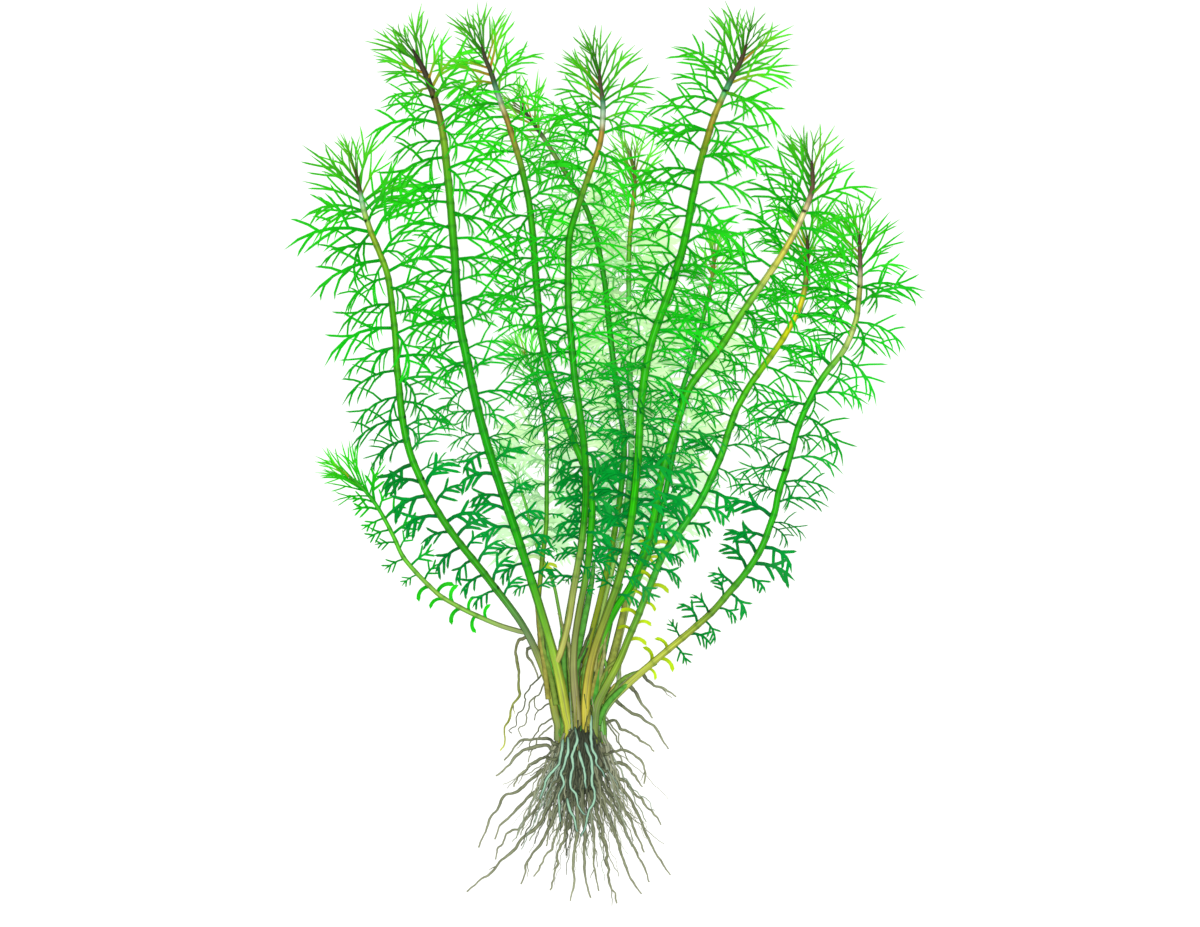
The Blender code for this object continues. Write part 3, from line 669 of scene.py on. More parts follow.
def whorl_tree() -> bpy.types.NodeTree:
    """Build the tree that sets a leaf on every point of a shoot.

    Returns:
        A tree with the inputs Leaves, Leaf Size and Finish. Each point holds its leaf's pattern number,
        turn and size.
    """
    made = GeometryTree("milfoil whorls", {"Leaves": "Collection", "Leaf Size": "Float"})
    leaves = {"Collection": made.given["Leaves"], "Separate Children": True, "Reset Children": True}
    sizes = {0: made.named("size", "FLOAT"), 1: made.given["Leaf Size"]}
    placed = made.add(
        "GeometryNodeInstanceOnPoints",
        {
            "Points": made.given["Geometry"],
            "Instance": made.add("GeometryNodeCollectionInfo", leaves).outputs[0],
            "Pick Instance": True,
            "Instance Index": made.named("pattern", "INT"),
            "Rotation": made.named("turn", "QUATERNION"),
            "Scale": made.add("ShaderNodeMath", sizes, operation="MULTIPLY").outputs[0],
        },
    )
    return made.close(placed.outputs[0])


def strand_tree() -> bpy.types.NodeTree:
    """Build the tree that gives a drawn line its thickness.

    Returns:
        A tree with the inputs Sides and Finish. Each point of the line holds its radius.
    """
    made = GeometryTree("strand skin", {"Sides": "Int"})
    line = made.add("GeometryNodeMeshToCurve", {"Mesh": made.given["Geometry"]})
    ring = made.add("GeometryNodeCurvePrimitiveCircle", {"Resolution": made.given["Sides"], "Radius": 1.0})
    place = made.add("GeometryNodeInputPosition").outputs[0]
    marked = made.add(
        "GeometryNodeStoreNamedAttribute",
        {"Geometry": ring.outputs[0], "Name": "around", "Value": place},
        data_type="FLOAT_VECTOR",
        domain="POINT",
    )
    swept = made.add(
        "GeometryNodeCurveToMesh",
        {
            "Curve": line.outputs[0],
            "Profile Curve": marked.outputs[0],
            "Scale": made.named("radius", "FLOAT"),
            "Fill Caps": True,
        },
    )
    return made.close(made.add("GeometryNodeSetShadeSmooth", {"Geometry": swept.outputs[0]}).outputs[0])


def stand(name: str, data: object) -> Piece:
    """Put a mesh, lamp or camera into the scene.

    Args:
        name: The object's name.
        data: What it holds.

    Returns:
        The object.
    """
    made = bpy.data.objects.new(name, data)
    bpy.context.scene.collection.objects.link(made)
    return made


def mark(mesh: bpy.types.Mesh, label: str, values: object, kind: str = "FLOAT") -> None:
    """Give each point of a mesh its value under an attribute name."""
    mesh.attributes.new(label, kind, "POINT").data.foreach_set("value", values)


def settle(piece: Piece, slot: str, *nodes: str) -> None:
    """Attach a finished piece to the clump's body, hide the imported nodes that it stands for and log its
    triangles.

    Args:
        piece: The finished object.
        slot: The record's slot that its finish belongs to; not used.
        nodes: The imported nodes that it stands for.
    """
    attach(piece, BODY)
    if nodes:
        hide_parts(*nodes)
    piece.data.calc_loop_triangles()
    LOG.info("%s: %d triangles", piece.name, len(piece.data.loop_triangles))


def crown_radius(down: float) -> float:
    """Return the crown's half width at this distance below its top."""
    return CROWN_HALF_WIDTH * read_table(CROWN_PROFILE, down)


def front_height(x: float, y: float) -> float:
    """Work out how high the crown, or the root mat below it, stands at a place.

    Args:
        x: The place across the clump.
        y: The place along it.

    Returns:
        The height over the floor.
    """
    down = CROWN_TOP - y
    half = crown_radius(min(max(down, 0.0), 0.015)) + 0.0004
    bulge = math.sqrt(max(1.0 - ((x - CROWN_MIDDLE.x) / half) ** 2, 0.15))
    fall = MAT_FALL * smooth((down - MAT_FALL_FROM) / MAT_FALL_OVER)
    return CROWN_MIDDLE.z + half * CROWN_FLATNESS * bulge - fall - FEET_FALL * smooth(-down / FEET_FALL_OVER)


class LeafForm(Enum):
    """The leaf shapes that the clump bears, from its buds down to its lowest nodes."""

    BUD = "young upright leaf of the bud"
    FINE = "full feathery leaf"
    SPARSE = "feathery leaf of a back shoot"
    FAR = "soft pale leaf low down in the thick of the clump"
    COMB = "dark toothed leaf of the lower stem"
    LOBED = "small leaf with a few lobes"
    STRAP = "short undivided leaf near the base"


class ThreadBundle:
    """Tapering three-sided threads gathered into one mesh, flat side to the sky."""

    corner_angles = tuple(radians(angle) for angle in (30.0, 150.0, 270.0))

    def __init__(self, depth: float) -> None:
        """Start with no thread.

        Args:
            depth: How deep a thread is for its width.
        """
        self.depth = depth
        self.corners: list[Rows] = []
        self.faces: list[tuple[int, ...]] = []
        self.along: list[float] = []

    def add(self, line: Rows, radii: list[float], span: Span) -> None:
        """Add one thread that ends in a point.

        Args:
            line: Its centre points, from its foot to its tip.
            radii: The radius at each point but the last.
            span: Its share of the way along the leaf, at its foot and at its tip.
        """
        first, last = len(self.corners), len(line) - 1
        tangents = np.gradient(line, axis=0)
        for i in range(last):
            tangent = tangents[i] / np.linalg.norm(tangents[i])
            across = np.cross(UPWARD, tangent)
            across /= max(np.linalg.norm(across), 1e-6)
            up = np.cross(tangent, across) * self.depth
            for angle in self.corner_angles:
                side = across * cos(angle) + up * sin(angle)
                self.corners.append(line[i] + side * radii[i])
                self.along.append(span[0] + (span[1] - span[0]) * i / last)
        self.corners.append(line[-1])
        self.along.append(span[1])
        for i in range(last):
            for j in range(3):
                a, b = first + i * 3 + j, first + i * 3 + (j + 1) % 3
                self.faces.append((a, b, b + 3, a + 3) if i < last - 1 else (a, b, first + last * 3))
        self.faces.append((first + 2, first + 1, first))

    def mesh(self, name: str) -> bpy.types.Mesh:
        """Gather the threads into one mesh whose points know how far along the leaf they are.

        Args:
            name: The mesh's name.

        Returns:
            The mesh.
        """
        mesh = bpy.data.meshes.new(name)
        mesh.from_pydata([tuple(c) for c in self.corners], [], self.faces)
        work = bmesh.new()
        work.from_mesh(mesh)
        bmesh.ops.recalc_face_normals(work, faces=work.faces)
        work.to_mesh(mesh)
        work.free()
        mark(mesh, "along", self.along)
        return mesh


@dataclass(frozen=True)
class LeafPattern:
    """One leaf shape a unit long: a curved stalk along +X and lobes in the XY plane.

    The stem's tip lies to +Y. Angles are in degrees, and lengths are shares of the leaf's. A lobe has its
    place on the stalk, its side, the angle that it turns off and its length.
    """

    form: LeafForm
    copies: int
    bend: Span
    bend_jitter: float
    stalk_radius: Span
    lobe_radius: Span
    lobes: tuple[tuple[float, int, float, float], ...]
    curl: Span
    stalk_steps: int = 5
    depth: float = 0.75
    stalk_lift: float = 0.10
    lobe_lift: float = 0.18
    lobe_steps: tuple[float, ...] = (0.4, 0.4, 0.2)
    inner_curl: float = 9.0
    place_jitter: float = 0.04
    turn_jitter: float = 7.0
    lobe_lengths: Span = (0.82, 1.15)

    def stalk(self, rng: Dice) -> Rows:
        """Draw the stalk's centre line.

        Args:
            rng: The source of small differences.

        Returns:
            Its points from foot to tip.
        """
        first, last = (b + rng.uniform(-self.bend_jitter, self.bend_jitter) for b in self.bend)
        lift = rng.uniform(-self.stalk_lift, self.stalk_lift)
        points = [np.zeros(3)]
        for i in range(self.stalk_steps):
            share = (i + 0.5) / self.stalk_steps
            angle = radians(first + (last - first) * share)
            points.append(points[-1] + np.array([cos(angle), sin(angle), lift * share]) / self.stalk_steps)
        return np.array(points)

    def lobe(self, start: Rows, heading: float, turn: float, length: float, rng: Dice) -> Rows:
        """Draw one lobe's centre line.

        Args:
            start: Where it leaves the stalk.
            heading: The stalk's own direction there.
            turn: How far the lobe turns off it.
            length: Its length.
            rng: The source of small differences.

        Returns:
            Four points from foot to tip.
        """
        curl = rng.uniform(*self.curl) + (self.inner_curl if turn > 0 else 0.0)
        out = rng.uniform(-self.lobe_lift, self.lobe_lift)
        points = [start]
        for i, share in enumerate(self.lobe_steps):
            angle = radians(heading + turn + curl * (i - 1))
            points.append(points[-1] + np.array([cos(angle), sin(angle), out]) * (length * share))
        return np.array(points)

    def build(self, seed: int) -> bpy.types.Mesh:
        """Build one copy of the leaf.

        Args:
            seed: A different number for each copy.

        Returns:
            The leaf's mesh.
        """
        rng = Dice(seed)
        threads = ThreadBundle(self.depth)
        line = self.stalk(rng)
        thick, thin = self.stalk_radius
        count = len(line) - 1
        threads.add(line, [thick + (thin - thick) * i / count for i in range(count)], (0.0, 1.0))
        wide, narrow = self.lobe_radius
        for place, side, turn, length in self.lobes:
            place = min(max(place + rng.uniform(-self.place_jitter, self.place_jitter), 0.05), 0.95)
            low = min(int(place * count), count - 1)
            ahead = line[low + 1] - line[low]
            start = line[low] + ahead * (place * count - low)
            heading = math.degrees(math.atan2(ahead[1], ahead[0]))
            turn = side * (turn + rng.uniform(-self.turn_jitter, self.turn_jitter))
            length *= rng.uniform(*self.lobe_lengths)
            lobe = self.lobe(start, heading, turn, length, rng)
            threads.add(lobe, [wide, (wide + narrow) / 2, narrow], (place, 1.0))
        return threads.mesh(f"{self.form.name.lower()} leaf")


LEAF_PATTERNS = (
    LeafPattern(
        LeafForm.BUD, 8, (6.0, -10.0), 9.0, (0.0222, 0.0158), (0.019, 0.015),
        ((0.28, 1, 26.0, 0.56), (0.46, -1, 26.0, 0.46)),
        (-12.0, 10.0), 4,
    ),
    LeafPattern(
        LeafForm.FINE, 14, (22.0, -42.0), 16.0, (0.0226, 0.0164), (0.0194, 0.015),
        ((0.17, -1, 50.0, 0.48), (0.38, -1, 40.0, 0.48), (0.6, -1, 32.0, 0.36), (0.26, 1, 46.0, 0.46),
         (0.52, 1, 38.0, 0.36)),
        (-26.0, -2.0),
    ),
    LeafPattern(
        LeafForm.SPARSE, 7, (20.0, -38.0), 16.0, (0.0205, 0.015), (0.0175, 0.0135),
        ((0.12, -1, 54.0, 0.46), (0.42, -1, 36.0, 0.46), (0.26, 1, 46.0, 0.46), (0.54, 1, 36.0, 0.34)),
        (-24.0, 0.0),
    ),
    LeafPattern(
        LeafForm.FAR, 6, (14.0, -22.0), 12.0, (0.037, 0.033), (0.035, 0.03),
        ((0.16, -1, 48.0, 0.54), (0.44, -1, 38.0, 0.46), (0.28, 1, 44.0, 0.52), (0.56, 1, 32.0, 0.38)),
        (-16.0, 6.0), 4, 0.25,
    ),
    LeafPattern(
        LeafForm.COMB, 7, (34.0, -36.0), 16.0, (0.049, 0.04), (0.047, 0.039),
        ((0.28, -1, 56.0, 0.46), (0.5, -1, 48.0, 0.44), (0.72, -1, 40.0, 0.34), (0.4, 1, 40.0, 0.4)),
        (-14.0, 4.0),
    ),
    LeafPattern(
        LeafForm.LOBED, 5, (12.0, -20.0), 14.0, (0.048, 0.04), (0.046, 0.038),
        ((0.3, -1, 46.0, 0.46), (0.38, 1, 42.0, 0.46), (0.56, -1, 38.0, 0.38), (0.62, 1, 32.0, 0.36)),
        (-12.0, 4.0), 4,
    ),
    LeafPattern(
        LeafForm.STRAP, 4, (42.0, -58.0), 10.0, (0.098, 0.118), (0.06, 0.04), (), (0.0, 0.0), 6, 0.5
    ),
)


@dataclass
class Strand:
    """A line with a thickness: a stem, root or hair before it has its skin."""

    points: Rows
    radii: Rows
    tint: float = 0.5
    nodes: Rows | None = None


@dataclass
class LeafSpot:
    """Where one leaf grows, and how it points."""

    foot: Rows
    aim: Rows
    up: Rows
    form: LeafForm
    copy: int
    size: float
    age: float
    tint: float
    roll: float

    def turn(self) -> tuple[float, float, float, float]:
        """Work out the rotation that lays the pattern's +X along the leaf and its blade to the sky.

        Returns:
            The quaternion's w, x, y and z.
        """
        along = Vector(self.aim).normalized()
        across = Vector(UPWARD).cross(along)
        if across.length < 1e-4:
            across = Vector(self.up).cross(along)
        across.normalize()
        if across.dot(Vector(self.up)) < 0.0:
            across.negate()
        turned = Matrix.Rotation(radians(self.roll), 3, along) @ across
        return tuple(Matrix((along, turned, along.cross(turned))).transposed().to_quaternion())


class Garden:
    """The shared trees, the leaf patterns, every stem's line, and the calls that make the pieces."""

    def __init__(self) -> None:
        """Build the trees and every copy of every leaf pattern, in a collection that isn't shown."""
        self.whorls = whorl_tree()
        self.strands = strand_tree()
        self.stems: dict[str, tuple[Rows, Rows]] = {}
        self.patterns = bpy.data.collections.new("leaf patterns")
        self.copies: dict[LeafForm, range] = {}
        for pattern in LEAF_PATTERNS:
            first = len(self.patterns.objects)
            self.copies[pattern.form] = range(first, first + pattern.copies)
            for number in self.copies[pattern.form]:
                leaf = bpy.data.objects.new(f"leaf_{number:03d}", pattern.build(1000 + number))
                self.patterns.objects.link(leaf)

    def clear(self) -> None:
        """Remove the leaf patterns, once every shoot has its leaves."""
        for leaf in list(self.patterns.objects):
            bpy.data.objects.remove(leaf)
        bpy.data.collections.remove(self.patterns)

    def is_clear(self, owner: str, samples: Rows, overhead: bool = False) -> bool:
        """Say whether a leaf stays off every stem but its own.

        Args:
            owner: The leaf's own shoot.
            samples: Points along the leaf.
            overhead: Whether a point right above a stem counts as being on it.

        Returns:
            True when no point is on a stem.
        """
        for name, (centres, radii) in self.stems.items():
            gap = samples[:, None, :] - centres[None, :, :]
            if overhead:
                gap[:, :, 2] = np.minimum(gap[:, :, 2], 0.0)
            if name != owner and (np.linalg.norm(gap, axis=2) < radii + STEM_ROOM).any():
                return False
        return True

    def carry_out(self, source: bpy.types.Mesh, tree: bpy.types.NodeTree, values: dict) -> Piece:
        """Run a tree on a mesh of points or lines and keep the result as a plain mesh.

        Args:
            source: What the tree grows from, under the finished piece's name.
            tree: The Geometry Nodes tree.
            values: The tree's inputs by name.

        Returns:
            The finished object, at the origin, with no modifier.
        """
        name = source.name
        source.name += " guide"
        carrier = stand(source.name, source)
        modifier = carrier.modifiers.new("grow", "NODES")
        modifier.node_group = tree
        for item in tree.interface.items_tree:
            if item.in_out == "INPUT" and item.name in values:
                modifier[item.identifier] = values[item.name]
        graph = bpy.context.evaluated_depsgraph_get()
        mesh = bpy.data.meshes.new_from_object(carrier.evaluated_get(graph))
        bpy.data.objects.remove(carrier)
        mesh.name = name
        return stand(name, mesh)

    def skin(self, name: str, strands: list[Strand], sides: int, finish: Material) -> Piece:
        """Turn lines into one piece with round sections.

        Args:
            name: The piece's name.
            strands: The lines.
            sides: How many sides each section has.
            finish: The piece's material.

        Returns:
            The finished piece.
        """
        points, edges = [], []
        for strand in strands:
            first = len(points)
            points += [tuple(p) for p in strand.points]
            edges += [(i, i + 1) for i in range(first, len(points) - 1)]
        mesh = bpy.data.meshes.new(name)
        mesh.from_pydata(points, edges, [])
        reaches = [reach_along(s.points) for s in strands]
        marks = {
            "radius": [s.radii for s in strands],
            "distance": reaches,
            "down": [reach / reach[-1] for reach in reaches],
            "tint": [np.full(len(s.points), s.tint) for s in strands],
            "node": [np.zeros(len(s.points)) if s.nodes is None else s.nodes for s in strands],
        }
        for label, values in marks.items():
            mark(mesh, label, np.concatenate(values).astype(np.float32))
        return self.carry_out(mesh, self.strands, {"Sides": sides, "Finish": finish})

    def leaves(self, name: str, spots: list[LeafSpot], finish: Material) -> Piece:
        """Grow a leaf on every spot as one piece that lies on the floor.

        Args:
            name: The piece's name.
            spots: The leaves' places.
            finish: The leaves' material.

        Returns:
            The finished piece.
        """
        mesh = bpy.data.meshes.new(name)
        mesh.from_pydata([tuple(s.foot) for s in spots], [], [])
        copies = [self.copies[s.form] for s in spots]
        mark(mesh, "pattern", [numbers[s.copy % len(numbers)] for s, numbers in zip(spots, copies)], "INT")
        mark(mesh, "turn", [part for s in spots for part in s.turn()], "QUATERNION")
        for label in ("size", "age", "tint"):
            mark(mesh, label, [getattr(s, label) for s in spots])
        values = {"Leaves": self.patterns, "Leaf Size": 1.0, "Finish": finish}
        piece = self.carry_out(mesh, self.whorls, values)
        settle_on_floor(piece.data)
        return piece


def settle_on_floor(mesh: bpy.types.Mesh) -> None:
    """Bend what would sink through the floor so that it lies on it, and hold the top under the ceiling.

    Args:
        mesh: The foliage.
    """
    places = np.empty(len(mesh.vertices) * 3, np.float32)
    mesh.vertices.foreach_get("co", places)
    heights = places[2::3]
    low = heights < FLOOR_EASE
    heights[low] = FLOOR_EASE * np.exp((heights[low] - FLOOR_EASE) / FLOOR_EASE)
    high = heights > CEILING - CEILING_BAND
    over = heights[high] - CEILING + CEILING_BAND
    heights[high] = CEILING - CEILING_BAND * np.exp(-over / CEILING_BAND)
    mesh.vertices.foreach_set("co", places)
    mesh.update()


def keep_inside(foot: Rows, aim: Rows, length: float) -> Rows:
    """Tip a leaf so that it stays over the floor and inside the clump's box.

    Args:
        foot: Where the leaf starts.
        aim: Its direction.
        length: Its length.

    Returns:
        The direction, turned if it had to be.
    """
    low, high = (np.array(corner) for corner in CAD_BOX)
    margins = np.array([0.0, 0.0, EDGE_MARGIN])
    return unit(np.clip(foot + aim * length, low + margins, high - margins) - foot)


@dataclass
class Shoot:
    """One leafy shoot: a jointed stem with whorls of leaves. Heights are over the floor, in metres.

    The route starts at the tip. heights are the stem's at its foot, half way and at its tip. seat is where
    its foot stands across the crown. bare_below, straps_below and comb_below are places along the clump,
    below which the stem has no leaves, or leaves of that kind.
    """

    name: str
    stem_width: float
    vigour: float
    heights: tuple[float, float, float]
    bare_below: float
    colours: Stops
    route: tuple[GridPoint, ...]
    seat: float | None = None
    forks_from: str | None = None
    straps_below: float = -1.0
    strap_age: float = 0.86
    comb_below: float = 0.002
    comb_leaves: int = 3
    leaf: LeafForm = LeafForm.FINE
    freshness: float = 0.0
    seed: int = 1
    line: Route = field(init=False)
    rng: Dice = field(init=False)

    def __post_init__(self) -> None:
        """Work out the stem's centre line from its tip to its foot."""
        self.rng = Dice(self.seed)
        flat = on_grid(self.route)
        if self.seat is not None:
            foot = np.array([self.seat, CROWN_TOP + 0.0003, 0.0])
            flat = np.vstack([flat, foot + (0.0, 0.005, 0.0), foot])
        line = Route(curve_through(flat))
        foot_height, half_height, tip_height = self.heights
        for i, distance in enumerate(line.reach):
            share = 1.0 - distance / line.length
            z = foot_height + (half_height - foot_height) * smooth((share - 0.04) / 0.40)
            line.points[i, 2] = z + (tip_height - half_height) * smooth((share - 0.58) / 0.42)
        self.line = Route(line.points)

    def radius(self, distance: float) -> float:
        """Return the stem's radius at this distance from its tip."""
        swell = smooth((distance - self.line.length + 0.050) / 0.035) if self.seat is not None else 0.0
        return self.stem_width / 2 * read_table(STEM_TAPER_BY_AGE, distance) * (1.0 + FOOT_SWELL * swell)

    def whorls(self) -> list[float]:
        """Space the whorls down the stem.

        Returns:
            Each whorl's distance from the stem's tip.
        """
        head = 0.62 + 0.38 * min(self.vigour, 1.0)
        found = [d * head for d in BUD_WHORLS]
        distance = found[-1] + WHORL_SPACING * head
        end = self.line.length - BARE_TOP
        while distance < end and self.line.place(distance)[1] > self.bare_below:
            found.append(distance)
            is_low = self.line.place(distance)[1] < self.comb_below
            distance += LOW_WHORL_SPACING if is_low else WHORL_SPACING
        return found

    def leaf_form(self, distance: float, y: float) -> LeafForm:
        """Choose the leaf shape that grows at a height on the stem.

        Args:
            distance: How far the whorl is from the stem's tip.
            y: Where it is along the clump.

        Returns:
            The leaf form.
        """
        if y < self.straps_below:
            return LeafForm.STRAP
        if distance < BUD_LENGTH:
            return LeafForm.BUD
        if self.leaf is LeafForm.LOBED:
            return self.leaf
        rise = y - self.comb_below
        if rise < -0.052:
            return LeafForm.LOBED if self.rng.random() < 0.4 else LeafForm.COMB
        if rise < self.rng.uniform(-0.014, 0.012) and distance > 0.05:
            return LeafForm.COMB
        return self.leaf

    def leaf_age(self, distance: float, y: float, form: LeafForm) -> float:
        """Work out a leaf's age, which sets its colour.

        Args:
            distance: How far the whorl is from the stem's tip.
            y: Where it is along the clump.
            form: The leaf's shape.

        Returns:
            The age from 0 in the bud to 1 at the base.
        """
        if form is LeafForm.STRAP:
            return self.strap_age
        young = min(distance / 0.030, 1.0) * 0.30
        low = read_table(AGE_BY_RISE, y - self.comb_below)
        return min(max(young + low - self.freshness, 0.05), 0.70)

    def grow_stem(self, garden: Garden, parent: "Shoot | None") -> Piece:
        """Build the stem with a swollen ring at each whorl.

        Args:
            garden: Holds the trees, and learns where this stem runs.
            parent: The shoot that this one forks from.

        Returns:
            The stem piece.
        """
        whorls = np.array([d for d in self.whorls() if d > BARE_TOP])
        steps = np.arange(0.0, self.line.length, STEM_STEP)
        distances = np.unique(np.concatenate([steps, whorls, [self.line.length]]))
        points = self.line.places(distances)
        radii = np.array([self.radius(d) for d in distances])
        away = np.abs(distances[:, None] - whorls[None, :]).min(axis=1)
        nodes = np.clip(1.0 - away / NODE_LENGTH, 0.0, 1.0)
        radii *= 1.0 + NODE_SWELL * np.clip(1.0 - away / NODE_SWELL_LENGTH, 0.0, 1.0)
        garden.stems[self.name] = (points[::3], radii[::3])
        onward = points[-1] + unit(points[-1] - points[-3]) * STEM_OVERLAP
        if parent:
            spots = parent.line.points
            onward = points[-1] + (onward - points[-1]) * 1.8
            onward = spots[np.argmin(np.linalg.norm(spots - onward, axis=1))]
        points = np.vstack([points, onward])
        radii = np.append(radii, radii[-1] * 0.96)
        if self.seat is not None and self.heights[0] > FRONT_SEAT:
            x, y, _ = onward
            pull = (CROWN_MIDDLE.x - x) * 0.05
            for step, share in FOOT_STEPS:
                width = radii[-1] / 0.96 * share
                over = front_height(x + pull, y - step) - width * 0.3
                points = np.vstack([points, (x + pull * step * 300, y - step, over)])
                radii = np.append(radii, self.stem_width / 2 * share)
        nodes = np.append(nodes, np.zeros(len(radii) - len(nodes)))
        finish = StemFinish(self.name + " skin", self.colours).material()
        return garden.skin(self.name + "_stem", [Strand(points, radii, nodes=nodes)], STEM_SIDES, finish)

    def grow_leaves(self, garden: Garden, finish: Material) -> Piece:
        """Build every leaf of the shoot.

        Args:
            garden: Holds the stems, the leaf patterns and the tree that places them.
            finish: The leaves' material.

        Returns:
            The foliage piece.
        """
        whorls = enumerate(self.whorls())
        spots = [spot for number, distance in whorls for spot in self.whorl(number, distance, garden)]
        return garden.leaves(self.name + "_leaves", spots, finish)

    def far_leaves(self, garden: Garden) -> list[LeafSpot]:
        """Place the pale leaves that lie low in the thick of the clump.

        Args:
            garden: Knows the stems that leaves keep off.

        Returns:
            The leaves' places.
        """
        rng = Dice(self.seed + 300)
        found = []
        for distance in self.whorls():
            y = self.line.place(distance)[1]
            if distance < 0.03 or not FAR_ZONE[0] < y < FAR_ZONE[1]:
                continue
            for azimuth in FAR_AZIMUTHS:
                azimuth += rng.uniform(-14, 14)
                foot, aim, up = self.sprout(distance, azimuth, rng.uniform(62.0, 112.0))
                length = rng.uniform(*FAR_LENGTHS)
                aim = keep_inside(foot, aim, length)
                samples = foot + aim * (length * np.linspace(0.2, 1.1, 7)[:, None])
                if garden.is_clear(self.name, samples, overhead=True):
                    roll = rng.uniform(-20.0, 20.0)
                    age = 0.4 if y > 0.0 else 0.6
                    copy = rng.randrange(99)
                    found.append(LeafSpot(foot, aim, up, LeafForm.FAR, copy, length, age, rng.random(), roll))
        return found

    def whorl(self, number: int, distance: float, garden: Garden) -> list[LeafSpot]:
        """Place one ring of leaves.

        Args:
            number: The whorl's number from the tip.
            distance: Its distance from the tip.
            garden: Knows the stems that leaves keep off.

        Returns:
            The leaves' places.
        """
        rng = self.rng
        _, y, height = self.line.place(distance)
        bud_share = smooth((distance - 0.006) / 0.012)
        in_bud = 0.55 + 0.45 * min(self.vigour, 0.90)
        size = LEAF_LENGTH * (in_bud + (0.10 + 0.90 * self.vigour - in_bud) * bud_share)
        size *= read_table(LENGTH_BY_AGE, distance)
        size *= 1.0 - bud_share * (1.0 - read_table(LEAF_SHARE_BY_RISE, y - self.comb_below))
        found = []
        for order, azimuth in enumerate(self.azimuths(number, distance, y)):
            form = self.leaf_form(distance, y)
            length = size * rng.uniform(0.74, 1.30 - 0.20 * bud_share)
            if form is LeafForm.STRAP:
                length = rng.uniform(*STRAP_LENGTHS)
            spread = read_table(SPREAD_BY_AGE if order < 2 else SECOND_SPREAD_BY_AGE, distance)
            spread += rng.uniform(-1.0, 1.0) * (11.0 + 7.0 * bud_share)
            if order > 1:
                spread += rng.uniform(-8.0, 24.0) * bud_share
                length *= 1.0 - 0.14 * bud_share
            stagger = (STAGGER if cos(radians(azimuth)) > 0 else 0.0) + rng.uniform(-0.0012, 0.0012)
            foot_at = distance + stagger * smooth((distance - 0.020) / 0.02)
            for turn, lean in WAYS_ASIDE:
                foot, aim, up = self.sprout(foot_at, azimuth + turn, spread + lean)
                aim = keep_inside(foot, aim, length)
                if garden.is_clear(self.name, foot + aim * (length * SAMPLES_ALONG)):
                    break
            roll = rng.uniform(-24.0, 24.0)
            age = self.leaf_age(distance, y, form)
            copy = rng.randrange(99)
            found.append(LeafSpot(foot, aim, up, form, copy, length, age, rng.random(), roll))
        if height > ARCH_TOP and number % 2 == 1:
            foot, aim, up = self.sprout(distance, STANDING_AZIMUTH + 9.0 * sin(number), STANDING_SPREAD)
            aim = keep_inside(foot, aim, size)
            age = self.leaf_age(distance, y, self.leaf)
            found.append(LeafSpot(foot, aim, up, self.leaf, number, size, age, 0.4, 0.0))
        return found

    def sprout(self, distance: float, azimuth: float, spread: float) -> tuple[Rows, Rows, Rows]:
        """Work out where a leaf leaves the stem.

        Args:
            distance: Its distance from the stem's tip.
            azimuth: Its direction round the stem, in degrees.
            spread: How far it leans off the stem's tip direction, in degrees.

        Returns:
            The leaf's foot, its direction and the stem's own direction.
        """
        up = self.line.towards_start(distance)
        side = unit(np.cross(up, UPWARD))
        angle, tilt = radians(azimuth), radians(spread)
        out = side * cos(angle) + np.cross(side, up) * sin(angle)
        foot = self.line.place(distance) + out * self.radius(distance) * 0.55
        return foot, out * sin(tilt) + up * cos(tilt), up

    def azimuths(self, number: int, distance: float, y: float) -> list[float]:
        """Choose the directions round the stem in which a whorl's leaves grow.

        Args:
            number: The whorl's number from the tip.
            distance: Its distance from the tip.
            y: Where it is along the clump.

        Returns:
            The directions in degrees.
        """
        turned = number % 2 == 1
        jitter = 22.0 if distance < BUD_LENGTH else 11.0
        if distance < BUD_LENGTH:
            base = (6.0, 172.0, 64.0)[: 3 if distance > 0.009 else 2] if turned else (-26.0, 152.0, 204.0)
        elif y < self.straps_below:
            base = (-18.0, 192.0, 14.0)[: self.comb_leaves] if turned else (10.0, 168.0)
        elif y < self.comb_below or self.leaf is LeafForm.LOBED:
            base = ((14.0, 196.0, -54.0) if turned else (-22.0, 164.0, 228.0))[: self.comb_leaves]
        else:
            base = (-8.0, 188.0, 56.0, 128.0) if turned else (6.0, 174.0, 222.0, -44.0)
            base = base[: 3 if self.leaf is LeafForm.FINE else 4]
        return [angle + self.rng.uniform(-jitter, jitter) for angle in base]


